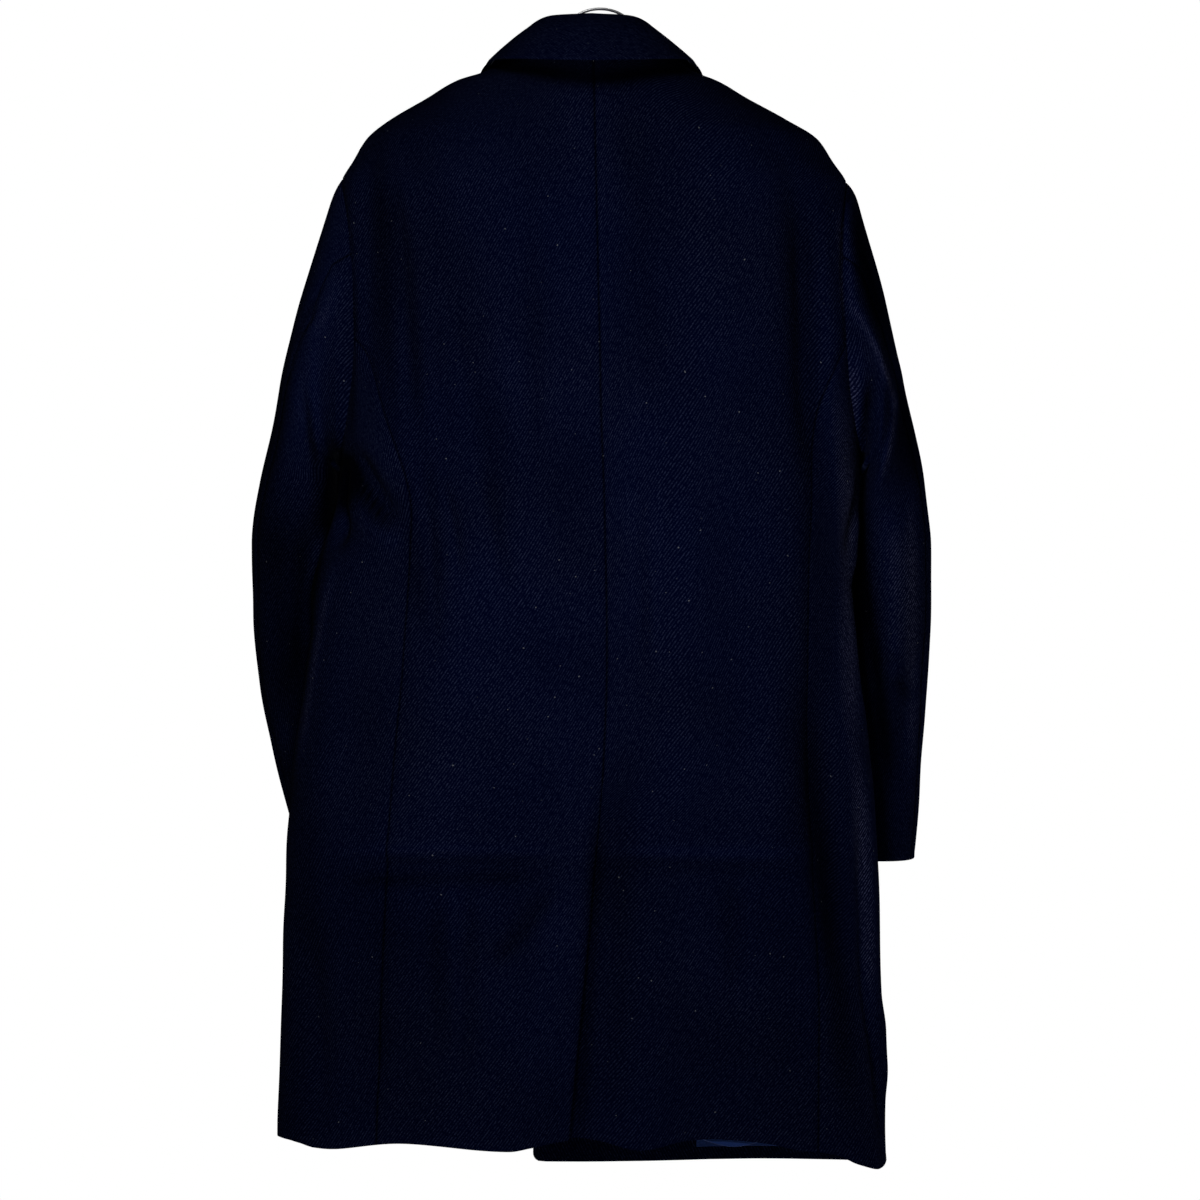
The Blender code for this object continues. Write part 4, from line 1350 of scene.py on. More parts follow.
@dataclass
class ClothPiece:
    """A cloth wall on a grid of a surface's two parameters, with its four edges rounded.

    The outer face is the surface moved out along its normal; towards an edge both faces meet in a
    quarter circle each. Seams pucker: a short wave along the seam that dies out a few millimetres in.
    """

    node: str
    surface: Surface
    first: Array
    second: Array
    ends: Pair
    out: Array | float = 0.0
    thick: float = 0.0024
    outward: float = 1.0
    round_share: float = 0.46
    pucker: float = 0.00025
    pucker_size: float = 0.085
    pucker_reach: float = 0.006
    pucker_waves: int = 16
    pucker_seed: int = 3
    seam_dip: float = 0.0012
    seam_reach: float = 0.0040
    # How wide the painted shade along the seams is.
    painted_shade_width_at_seams: float = 0.0012
    nap_wave: float = 0.10
    nap_seed: int = 23
    # Which faces take the strokes of painted light and shade, and the strokes, which also hold the nap.
    painted_light_facing: Pair = (-0.25, 0.10)
    nap_and_painted_light: Table | None = None
    anchor: Array | None = None
    unrolled: Callable[[Array], Array] | None = None
    stitch_row: int = -8
    least_area: float = 0.3

    def flat(self, points: Array, first: Array, across: Array, along: Array) -> Array:
        """The cloth laid flat: distances across from the anchor line, or the last column, and along.

        Args:
            points: the grid.
            first: its first parameter.
            across: distance along its rows.
            along: distance along its columns.

        Returns:
            A pair in metres for each point.
        """
        if self.unrolled:
            return self.unrolled(points)
        way = math.copysign(1.0, float(np.mean(np.diff(first, axis=1)))) * self.outward
        start = across[:, -1:]
        if self.anchor is not None:
            nearest = np.abs(first - self.anchor[:, None]).argmin(axis=1)[:, None]
            slope = np.gradient(across, axis=1) / np.gradient(first, axis=1)
            rest = self.anchor[:, None] - np.take_along_axis(first, nearest, 1)
            start = np.take_along_axis(across + rest * slope, nearest, 1)
        return joined(way * (across - start), along)

    def painted_light_and_nap(self, points: Array, normal: Array) -> Array:
        """Painted light and shade with the nap: strokes of painted shade and painted highlight, partly the
        lie of the nap, on the faces that look back, and slow unevenness of the nap everywhere.

        Args:
            points: the grid.
            normal: which way each point faces.

        Returns:
            The lightness of the painted light and shade and of the nap, 0 where it is plain.
        """
        wave = self.nap_wave * uneven(points, seed=self.nap_seed)
        if self.nap_and_painted_light is None:
            return wave
        # Strokes of painted shade and painted highlight, with the nap, only on faces that look back.
        return wave + step(-normal[..., 1], *self.painted_light_facing) * creases(self.nap_and_painted_light, points)

    def shape(self) -> tuple[Array, Array, Array, Array, Array]:
        """Works the wall out.

        Returns:
            The outer face, the inner face, the UV map, each point's painted shade beside a seam, and its
            painted light and shade with the nap.
        """
        first, second = np.broadcast_arrays(self.first, self.second)
        points = self.surface(first, second)
        normal = normals(self.surface, first, second, self.ends) * self.outward
        across, along = run_along(points, 1), run_along(points, 0)
        beside = np.minimum(across, across[:, -1:] - across)
        near = np.minimum(beside, np.minimum(along, along[-1:] - along))
        radius = self.thick * self.round_share
        inside = np.clip(1 - near / radius, 0.0, 1.0)
        roll = radius * (1 - np.sqrt(1 - inside**2))
        wave = uneven(points / self.pucker_size, waves=self.pucker_waves, seed=self.pucker_seed)
        wave = wave * np.exp(-near / self.pucker_reach)
        dip = self.seam_dip * bell(beside / self.seam_reach)
        out = self.out + (self.pucker * wave - dip) * (1 - inside)
        outer = points + (out - roll)[..., None] * normal
        inner = points + (self.out - self.thick + roll)[..., None] * normal
        # Painted shade along the piece's two side edges, its seams, where the groove would lie in shade.
        seam = bell(beside / self.painted_shade_width_at_seams) * (self.seam_dip > 0)
        return outer, inner, self.flat(points, first, across, along), seam, self.painted_light_and_nap(points, normal)

    def build(
        self,
        wardrobe: Wardrobe,
        slot: Slot = Slot.WOOL,
        sewn: int | None = None,
        below: float = 0.0,
        on: str = "hanger_body",
    ) -> None:
        """Puts the wall into a mesh, sews stitches along its free edge and works out the size of its flat
        cut.

        Args:
            wardrobe: the finishes.
            slot: the record's slot of its finish.
            sewn: the axis whose end has stitches beside it, if any.
            below: the level that the stitches lie below.
            on: what it hangs from; not used.
        """
        outer, inner, uv, seam, nap_and_painted_light = self.shape()
        rows, columns = outer.shape[:2]
        count = rows * columns
        face = grid_faces(rows, columns)
        index = np.arange(count).reshape(rows, columns)
        rim = np.concatenate([index[0], index[1:, -1], index[-1, -2::-1], index[-2:0:-1, 0]])
        beside = np.roll(rim, -1)
        band = joined(beside, rim, rim + count, beside + count)
        quads = np.concatenate([face, face[:, ::-1] + count, band])
        sides = np.cross(outer[1:-1, 2:] - outer[1:-1, :-2], outer[2:, 1:-1] - outer[:-2, 1:-1])
        if (sides * (outer - inner)[1:-1, 1:-1]).sum() < 0:
            quads = quads[:, ::-1]
        name = "coat_" + self.node
        obj = new_mesh(name, np.stack([outer, inner]), quads, wardrobe.finish[slot])
        set_uv(obj, np.concatenate([uv.reshape(-1, 2)] * 2))
        # Attributes for the finish: painted shade along the seams, and painted light and shade with the nap.
        set_attribute(obj, "edge", np.concatenate([seam.ravel()] * 2))
        set_attribute(obj, "nap_and_painted_light", np.concatenate([nap_and_painted_light.ravel()] * 2))
        wardrobe.place(obj, slot, self.node)
        stitches = []
        if sewn is not None:
            top, under = (side.take(self.stitch_row, axis=sewn) for side in (outer, inner))
            low = top[:, 2] < below
            up = unit(top - under)
            stitches = [Stitching(wardrobe).run(name + "_stitches", top[low], up[low])]
        width, length = (float(run_along(outer, axis).take(-1, axis=axis).max()) for axis in (1, 0))
        area = float(np.linalg.norm(sides, axis=-1).sum() / 4)
        area = min(max(area, self.least_area * width * length), width * length)


@dataclass
class Stitching:
    """Thread that shows: pick stitches beside free edges, buttonholes, and bars that hold the buttons."""

    wardrobe: Wardrobe
    pitch: float = 0.0050
    length: float = 0.0018
    radius: float = 0.00034
    sides: int = 6
    hole_pitch: float = 0.0011
    hole_length: float = 0.020
    tooth: float = 0.0022
    tooth_lift: float = 0.6
    arch: float = 8.0

    def dashes(self, name: str, middle: Array, way: Array, up: Array, length: float) -> Obj:
        """Short rounded threads that arch out of the cloth and sink back into it at both ends.

        Args:
            name: the object's name.
            middle: the middle of each thread, on the cloth.
            way: the direction of each thread.
            up: the way out of the cloth.
            length: every thread's length.

        Returns:
            All the threads as one object.
        """
        share, thick = STITCH.T[..., None]
        thick = self.radius * thick
        turn = circle(self.sides)
        rise = self.radius * (1 - self.arch * share**2) + thick * np.sin(turn)
        way, up = way[:, None, None], up[:, None, None]
        rings = middle[:, None, None] + way * length * share[..., None] + up * rise[..., None]
        rings = rings + np.cross(way, up) * (thick * np.cos(turn))[..., None]
        quads = grid_faces(len(share), self.sides, loop=True)
        quads = (quads + np.arange(len(middle))[:, None, None] * rise.size).reshape(-1, 4)
        obj = new_mesh(name, rings, quads, self.wardrobe.thread)
        self.wardrobe.place(obj, Slot.WOOL)
        return obj

    def run(self, name: str, line: Array, up: Array) -> Obj:
        """Pick stitches at an even pitch along a line.

        Args:
            name: the object's name.
            line: points of the line.
            up: the way out of the cloth at each one.

        Returns:
            The stitches.
        """
        far = run_along(line, 0)
        at = np.arange(self.pitch, far[-1], self.pitch)
        middle, ahead, out = (
            joined(*(np.interp(at + shift, far, part) for part in value.T))
            for value, shift in ((line, 0.0), (line, self.length / 4), (up, 0.0))
        )
        return self.dashes(name, middle, unit(ahead - middle), unit(out), self.length)

    def buttonhole(self, name: str, cloth: BodyCloth, level: float) -> None:
        """A worked buttonhole: two rows of teeth beside a slit that runs in from behind the button.

        Args:
            name: the object's name.
            cloth: the body's cloth.
            level: its height.
        """
        x = TORSO.at("centre_x", level) - np.arange(0.0, self.hole_length, self.hole_pitch)
        lift = np.repeat((-self.tooth_lift, self.tooth_lift), len(x))
        height = level + lift * self.tooth
        girth = cloth.girth_at_x(Side.LEFT, np.tile(x, 2), height, Face.FRONT)
        on = cloth.points(girth, height)
        way, up = cloth.points(girth, height + NUDGE) - on, cloth.points(girth, height, 1.0) - on
        self.dashes(name, on, unit(way), unit(up), self.tooth)


@dataclass
class BodyPanels:
    """The backs, sides, fronts and lapels, all cut from the body's cloth.

    The size of a back, a front or a lapel is the girth that its rows are spaced along, and its width. The
    size of a side is its width and its length.
    """

    cloth: BodyCloth
    wardrobe: Wardrobe
    spacing: float = 0.0032
    front_spacing: float = 0.0042
    vent_top: float = -0.690
    vent_underlap: float = 0.045
    vent_slant: float = 0.035
    vent_lead: float = 0.040
    vent_open: float = -0.960
    vent_lift: float = 0.0035
    vent_fall: float = 0.0085
    vent_reach: float = 0.030
    button_stand: float = 0.040
    dive_full: float = 0.034
    dive_run: float = 0.050
    front_dive_span: Pair = (-0.210, -0.270)
    back_size: Pair = (0.3, 0.20)
    front_size: Pair = (0.7, 0.22)
    lapel_size: Pair = (0.85, 0.08)
    side_size: Pair = (0.130, 0.62)
    side_pull: float = 0.70
    corner: float = 0.008
    corner_rise: float = 0.040
    lapel_top: float = -0.112
    lapel_bottom: Pair = (-0.362, -0.280)
    shoulder: float = 0.5
    samples: int = 4000

    @property
    def dive(self) -> float:
        """How far an under layer steps in."""
        return self.cloth.wall + self.cloth.layer_gap

    def seam(self, side: Side, height: Array) -> Array:
        """The girth's size of the back's side seam."""
        x = BACK_SEAMS.at(side.label, height)
        return np.abs(self.cloth.girth_at_x(side, x, height, Face.BACK))

    def outer(self, side: Side, height: Array, face: Face) -> Array:
        """The outer line of a back or a front: side seam, armhole, then shoulder seam.

        Args:
            side: the half of the body.
            height: levels on the body.
            face: the back or the front.

        Returns:
            The girth's size at each level.
        """
        hole = ARMHOLES[side]
        edge = self.cloth.armhole_edge(side, height, face)
        if face == Face.BACK:
            seam = self.seam(side, height)
            beside = np.minimum(seam, edge)
        else:
            seam = self.cloth.side_seam
            beside = np.where(height < hole.middle, np.maximum(seam, edge), edge)
        below = np.where(height < hole.bottom, seam, beside)
        return np.where(height > hole.top, self.shoulder, below)

    def front_x(self, side: Side, height: Array) -> Array:
        """The place across of a front's free edge."""
        return TORSO.at("centre_x", height) - side * FRONT_EDGE.at("past_centre", height)

    def front_edge(self, side: Side, height: Array) -> Array:
        """The girth of a front's free edge."""
        return self.cloth.girth_at_x(side, self.front_x(side, height), height, Face.FRONT)

    def back_dive(self, side: Side, girth: Array, height: Array) -> Array:
        """How far the right back steps in, and the left one lifts, along the vent.

        Args:
            side: the half of the body.
            girth: places around the body.
            height: levels on the body.

        Returns:
            The step, below 0 where it goes in.
        """
        beside = self.cloth.line(girth, height)[..., 0] - BACK_SEAMS.at("centre", height)
        opened = step(-height, -self.vent_top, -self.vent_open)
        if side == Side.LEFT:
            return self.vent_lift * opened * (1 - step(-beside, 0.0, self.vent_reach))
        across = 1 - step(beside, self.dive_full, self.dive_full + self.dive_run)
        under = self.dive * across * step(-height, -self.vent_top - self.vent_lead, -self.vent_top)
        return -under - self.vent_fall * opened * (1 - step(beside, 0.0, self.vent_reach))

    def front_dive(self, side: Side, girth: Array, height: Array) -> Array:
        """How far the right front steps in to pass under the left one.

        Args:
            side: the half of the body.
            girth: places around the body.
            height: levels on the body.

        Returns:
            The step, 0 or less.
        """
        if side == Side.LEFT:
            return np.zeros_like(girth)
        beside = self.cloth.line(girth, height)[..., 0] - TORSO.at("centre_x", height)
        full = self.button_stand + self.dive_full
        across = 1 - step(beside, full, full + self.dive_run)
        top, bottom = self.front_dive_span
        return -self.dive * across * step(-height, -top, -bottom)

    def piece(self, node: str, girth: Array, height: Array, out: Array | float = 0.0) -> ClothPiece:
        """A wall of body cloth over a grid of girth and height."""
        ends = (self.cloth.hem, self.cloth.neck)
        # The back's strokes of painted light and shade, with the nap.
        return ClothPiece(node, self.cloth.line, girth, height, ends, out, self.cloth.wall, nap_and_painted_light=BACK_NAP_AND_PAINTED_LIGHT)

    def side_span(self, side: Side) -> Array:
        """The turns around the armhole where the side's two seams meet it.

        Args:
            side: the half of the body.

        Returns:
            Both turns.
        """
        ring = np.linspace(TAU / 4, TAU * 3 / 4, self.samples)
        edge, level = self.cloth.armhole(side, ring)
        inside = (np.abs(edge) > self.seam(side, level)) & (np.abs(edge) < self.cloth.side_seam)
        return ring[inside][[0, -1]]

    def rows(self, side: Side, spacing: float, guide: float, end: int) -> Array:
        """A back's or a front's levels, with the armhole's ends and its corner with the side among them.

        Args:
            side: the half of the body.
            spacing: the distance between rows.
            guide: the girth that it is measured along.
            end: which corner of the side meets the panel.

        Returns:
            The levels from the hem to the neck.
        """
        cloth, hole = self.cloth, ARMHOLES[side]
        corner = cloth.armhole(side, self.side_span(side)[[end]])[1]
        stops = (hole.bottom, hole.top, float(corner[0]))
        return cloth.rows(cloth.hem, cloth.neck, spacing, side * guide, stops)

    def back(self, side: Side) -> None:
        """Builds a back from its centre seam and vent to its side seam, armhole and shoulder.

        Args:
            side: the half of the body.
        """
        cloth = self.cloth
        guide, width = self.back_size
        height = self.rows(side, self.spacing, guide, 0)
        x = BACK_SEAMS.at("centre", height)
        anchor = cloth.girth_at_x(side, x, height, Face.BACK)
        if side == Side.RIGHT:
            x = x - self.vent_underlap * np.clip((self.vent_top - height) / self.vent_slant, 0.0, 1.0)
        first = cloth.beside_seam(cloth.girth_at_x(side, x, height, Face.BACK), height, side)
        last = cloth.beside_seam(side * self.outer(side, height, Face.BACK), height, -side)
        girth = spread(first, last, crowded(width, self.spacing))
        height = height[:, None]
        piece = self.piece(f"back_{side.label}", girth, height, self.back_dive(side, girth, height))
        piece.anchor = anchor
        piece.build(self.wardrobe)

    def side(self, side: Side) -> None:
        """Builds the panel under an arm, whose top edge is the lower part of the armhole.

        Args:
            side: the half of the body.
        """
        cloth = self.cloth
        start, end = self.side_span(side)
        width, length = self.side_size
        share = crowded(width, self.spacing)
        edge, level = cloth.armhole(side, start + (end - start) * share)

        def between(height: Array) -> Array:
            """The girth at each column's share between the two seams.

            Args:
                height: levels on the body.

            Returns:
                The girth.
            """
            first = cloth.beside_seam(side * self.seam(side, height), height, side)
            last = cloth.beside_seam(np.full_like(first, side * cloth.side_seam), height, -side)
            return first + (last - first) * share

        rise = crowded(length, self.spacing)[:, None]
        height = cloth.hem + (level - cloth.hem) * rise
        pull = step(rise, self.side_pull, 1.0)
        girth = between(height) + pull * (edge - between(np.broadcast_to(level, height.shape)))
        self.piece(f"side_{side.label}", girth, height).build(self.wardrobe)

    def front(self, side: Side) -> None:
        """Builds a front from its side seam, armhole and shoulder to its free edge.

        Args:
            side: the half of the body.
        """
        cloth = self.cloth
        guide, width = self.front_size
        height = self.rows(side, self.front_spacing, guide, 1)
        first = cloth.beside_seam(side * self.outer(side, height, Face.FRONT), height, side)
        girth = spread(first, self.front_edge(side, height), crowded(width, self.front_spacing))
        height = height[:, None]
        run = run_along(cloth.line(girth, height), 1)
        past = np.clip(1 - (run[:, -1:] - run) / self.corner, 0.0, 1.0)
        lift = self.corner * (1 - np.sqrt(1 - past**2))
        height = height + lift * (1 - step(height - cloth.hem, 0.0, self.corner_rise))
        piece = self.piece(f"front_{side.label}", girth, height, self.front_dive(side, girth, height))
        piece.build(self.wardrobe, sewn=1, below=self.lapel_bottom[0])

    def lapel(self, side: Side) -> None:
        """Builds a lapel: the front's own points, moved out by a layer.

        Args:
            side: the half of the body.
        """
        cloth = self.cloth
        guide, width = self.lapel_size
        height = cloth.rows(self.lapel_bottom[side > 0], self.lapel_top, self.spacing, side * guide)
        x = self.front_x(side, height) + side * LAPEL_WIDTH.at("width", height)
        last = cloth.girth_at_x(side, x, height, Face.FRONT)
        girth = spread(self.front_edge(side, height), last, crowded(width, self.spacing))
        height = height[:, None]
        out = self.front_dive(side, girth, height) + self.dive
        self.piece(f"lapel_{side.label}", girth, height, out).build(self.wardrobe, sewn=1)

    def build(self) -> None:
        """Builds the panels of both sides."""
        for side in Side:
            for panel in (self.back, self.side, self.front, self.lapel):
                panel(side)


@dataclass
class Linings:
    """The lining of the skirt, left and right, and of the upper back: loose between sewn edges.

    Each size is the girth that rows are spaced along, and the width.
    """

    panels: BodyPanels
    wardrobe: Wardrobe
    wall: float = 0.0010
    gap: float = 0.0060
    sewn: float = 0.0012
    ease_run: float = 0.050
    top: float = -0.530
    short_of_hem: float = 0.012
    span: Pair = (0.085, 0.880)
    size: Pair = (0.4, 0.5)
    upper_top: float = -0.0475
    upper_inset: float = 0.020
    upper_reach: float = 0.430
    upper_size: Pair = (0.2, 0.4)
    lap: float = 0.004
    spacing: float = 0.0060
    slack: float = 0.0016
    slack_size: float = 2.2
    slack_waves: int = 20
    slack_seed: int = 11
    peek: float = 0.0185
    peek_at: float = 0.150
    peek_reach: float = 0.045

    def piece(self, node: str, girth: Array, height: Array, side: Side = Side.LEFT) -> None:
        """Builds one lining: inside the wool by a gap that closes at its upper and lower edges.

        Args:
            node: the node that it stands for.
            girth: places around the body.
            height: levels, one for each row.
            side: the front that it reaches behind.
        """
        cloth = self.panels.cloth
        inside = np.minimum(height - height[0], height[-1] - height)
        loose = step(inside, 0.0, self.ease_run)[:, None]
        low = 1 - step(height - height[0], 0.0, self.ease_run)
        grid = height[:, None] - low[:, None] * self.peek * bell((girth - self.peek_at) / self.peek_reach)
        at = cloth.line(girth, grid) * self.slack_size
        slack = self.slack * uneven(at, waves=self.slack_waves, seed=self.slack_seed)
        past_side = np.abs(girth) > cloth.side_seam
        dive = np.where(past_side, self.panels.front_dive(side, girth, grid), 0.0)
        out = dive - cloth.wall - self.sewn - loose * (self.gap - self.sewn + slack)
        ends = (cloth.hem - self.peek, cloth.neck)
        piece = ClothPiece(node, cloth.line, girth, grid, ends, out, self.wall, pucker=0.0, seam_dip=0.0)
        piece.build(self.wardrobe, Slot.LINING)

    def build(self) -> None:
        """Builds the three linings."""
        cloth = self.panels.cloth
        guide, width = self.size
        for side in Side:
            height = cloth.rows(cloth.hem + self.short_of_hem, self.top, self.spacing, side * guide)
            first, last = (np.full_like(height, side * end) for end in self.span)
            girth = spread(first, last, crowded(width, self.spacing))
            self.piece(f"lining_{side.label}", girth, height, side)
        guide, width = self.upper_size
        height = cloth.rows(self.top + self.lap, self.upper_top, self.spacing, guide)
        reach = (self.panels.outer(side, height, Face.BACK) - self.upper_inset for side in Side)
        edges = (side * np.minimum(size, self.upper_reach) for side, size in zip(Side, reach))
        self.piece("lining_back", spread(*edges, crowded(width, self.spacing)), height)


@dataclass
class Sleeve:
    """A two-piece sleeve: a tube of rings between the armhole and the cuff, parted at its two seams."""

    side: Side
    cloth: BodyCloth
    wardrobe: Wardrobe
    spacing: float = 0.0032
    square: float = 2.1
    armhole_gap: float = 0.0001
    heads: Pair = (0.0024, 0.0048)
    head_peak: float = 27 / 4
    blend: float = 2.5
    seam_turn: float = math.radians(0.02)
    ends: Pair = (-1.0, 12.0)
    samples: int = 1200
    guide: float = 0.4
    allowance: float = 0.006
    width: float = 0.22
    least_half: float = 0.020
    mean_radius: float = 0.052
    crease_facing: Pair = (0.0, 0.35)
    tuck: float = 0.012
    tuck_turn: Pair = (207.0, 20.0)
    tuck_ring: Pair = (2.9, 1.6)
    unevenness: float = 0.0012
    uneven_seed: int = 19
    middles: Pair = (-0.5, 2.5)

    def line(self, turn: Array, ring: Array) -> Array:
        """The sleeve's outer face: super-ellipse rings, blended into the armhole's line at the top.

        Before ring 0 the seam's allowance turns in, along the body's normal.

        Args:
            turn: places around each ring, from its outer end over the back.
            ring: ring numbers.

        Returns:
            A point for each place.
        """
        side = self.side
        outer_x, outer_z, inner_x, inner_z, middle_y, half_depth = SLEEVE_RINGS[side].all_at(ring)
        sine, cosine = np.sin(turn), np.cos(turn)
        half_x, half_z = (outer_x - inner_x) / 2, (outer_z - inner_z) / 2
        ray = joined(half_x * cosine, -half_depth * sine, half_z * cosine)
        ray = ray * super_size(sine, cosine, self.square)[..., None]
        middle = joined((outer_x + inner_x) / 2, middle_y, (outer_z + inner_z) / 2)
        degrees = np.degrees(turn) % 360
        swell = folds(SLEEVE_FOLDS[side], degrees, ring)
        swell = swell + step(sine, *self.crease_facing) * creases(SLEEVE_CREASES[side], middle + ray)
        swell = swell + self.unevenness * uneven(middle + ray, seed=self.uneven_seed)
        tube = middle + ray * (1 + swell / np.linalg.norm(ray, axis=-1))[..., None]
        (at_turn, turn_reach), (at_ring, ring_reach) = self.tuck_turn, self.tuck_ring
        tuck = bell((degrees - at_turn) / turn_reach) * bell((ring - at_ring) / ring_reach)
        tube[..., 0] -= side * self.tuck * tuck
        share = np.clip(ring / self.blend, 0.0, 1.0)
        out = self.heads[side > 0] * self.head_peak * share * (1 - share) ** 2
        out = out + self.allowance * np.minimum(ring, 0.0)
        start = self.cloth.points(*self.cloth.armhole(side, turn, self.armhole_gap), out)
        return start + (share * (2 - share))[..., None] * (tube - start)

    def laid_flat(self, points: Array, middle: float) -> Array:
        """The sleeve's cloth laid flat: the turn about its axis at each level, and the level itself.

        Args:
            points: places on the sleeve.
            middle: the turn that lies mid-piece, away from where the turn jumps.

        Returns:
            A pair in metres for each place.
        """
        rings = SLEEVE_RINGS[self.side].rows[::-1, 1:]
        outer_x, outer_z, inner_x, inner_z, middle_y, half_depth = rings.T
        x, y, z = np.moveaxis(points, -1, 0)
        outer, inner = np.interp(z, outer_z, outer_x), np.interp(z, inner_z, inner_x)
        half = np.maximum(np.abs(outer - inner) / 2, self.least_half)
        along = self.side * (x - (outer + inner) / 2) / half
        level = (outer_z + inner_z) / 2
        across = (np.interp(z, level, middle_y) - y) / np.interp(z, level, half_depth)
        turn = (np.arctan2(across, along) - middle + math.pi) % TAU - math.pi
        return joined(-self.side * turn * self.mean_radius, z)

    def build(self) -> None:
        """Builds the top and the under sleeve."""
        ring = evened(self.line, self.guide, np.linspace(*self.ends, self.samples), self.spacing)
        elbow, inside = (np.radians(turn) for turn in SEAM_TURN.all_at(ring))
        spans = {"top": (inside - TAU, elbow), "under": (elbow, inside)}
        for (name, (first, last)), middle in zip(spans.items(), self.middles):
            turn = spread(first + self.seam_turn, last - self.seam_turn, crowded(self.width, self.spacing))
            ClothPiece(
                f"sleeve_{name}_{self.side.label}",
                self.line,
                turn,
                ring[:, None],
                self.ends,
                thick=self.cloth.wall,
                outward=float(self.side),
                # The sleeve's strokes of painted light and shade, with the nap.
                nap_and_painted_light=SLEEVE_NAP_AND_PAINTED_LIGHT[self.side],
                unrolled=partial(self.laid_flat, middle=middle),
            ).build(self.wardrobe)


@dataclass
class TurnDownCollar:
    """A band sewn to the neckline, turned over its fold, with pick stitches along its edge."""

    panels: BodyPanels
    wardrobe: Wardrobe
    wall: float = 0.0030
    clear: float = 0.0014
    corner_clear: float = 0.0046
    corner_at: float = 1.05
    corner_run: float = 0.15
    turn_over: Pair = (0.85, 1.15)
    seam_look: float = 0.004
    belly: float = 0.0032
    belly_at: Pair = (0.35, 0.70)
    belly_ease: float = 0.8
    rise_at: float = 0.5
    fold_radius: float = 0.0036
    end: float = -0.098
    centre: float = -0.008
    spacing: float = 0.0022
    half_length: float = 2.0
    size: Pair = (0.62, 0.105)

    def line(self, along: Array, share: Array) -> Array:
        """The collar's middle face: a smooth curve from the seam over the fold to the edge of the fall.

        Args:
            along: places along the neckline, 0 at the centre back and 2 at the ends.
            share: 0 at the seam and 1 at the edge.

        Returns:
            A point for each place.
        """
        cloth = self.panels.cloth
        side, along = np.sign(along + TINY), np.abs(along)
        back, front = np.minimum(along, 1.0), np.maximum(along - 1.0, 0.0)
        height = cloth.neck + front * (self.end - cloth.neck)
        left, right = (self.panels.front_edge(which, height) for which in Side)
        girth = np.where(side > 0, right, left) * back
        seam = cloth.line(girth, height)
        over = unit(cloth.line(girth + side * NUDGE, height) - seam)
        up = unit(seam - cloth.line(girth, height - self.seam_look))
        turned = step(along, *self.turn_over)[..., None]
        clear = self.clear + self.corner_clear * bell((along - self.corner_at) / self.corner_run)
        seam = seam + clear[..., None] * unit(up * (1 - turned) + over * turned)
        fold_x, fold_y, fold_z, edge_x, edge_y, edge_z = COLLAR.all_at(along)
        fold = joined(self.centre + side * fold_x, fold_y, fold_z)
        edge = joined(self.centre + side * edge_x, edge_y, edge_z)
        crest = unit(unit(fold - seam) + unit(fold - edge))
        out = edge - seam
        out = unit(out - crest * (out * crest).sum(axis=-1, keepdims=True))
        inner, outer = fold - self.fold_radius * out, fold + self.fold_radius * out
        belly = self.belly * (out + crest)
        high, low = (outer + (edge - outer) * at for at in self.belly_at)
        rise = seam + (inner - seam) * self.rise_at
        top = fold + self.fold_radius * crest
        path = [seam, rise, inner, top, outer, high + belly, low + belly * self.belly_ease, edge]
        path = np.stack([2 * path[0] - path[1], *path, 2 * path[-1] - path[-2]])
        spot = np.clip(share, 0.0, 1.0) * (len(path) - 3)
        at = np.minimum(spot.astype(int), len(path) - 4)
        t = (spot - at)[..., None]
        grid = np.indices(at.shape)
        a, b, c, d = (path[(at + k, *grid)] for k in range(4))
        cubic = (2 * a - 5 * b + 4 * c - d) * t**2 + (3 * b - a - 3 * c + d) * t**3
        return 0.5 * (2 * b + (c - a) * t + cubic)

    def build(self) -> None:
        """Builds the collar."""
        length, width = (crowded(size, self.spacing) for size in self.size)
        along, share = np.meshgrid(self.half_length * (2 * length - 1), width)
        piece = ClothPiece("collar", self.line, along, share, (0.0, 1.0), self.wall / 2, self.wall)
        piece.seam_dip = 0.0
        # The collar takes the back's strokes of painted light and shade, with the nap.
        piece.nap_and_painted_light = BACK_NAP_AND_PAINTED_LIGHT
        piece.build(self.wardrobe, sewn=0, on="coat_back_left")


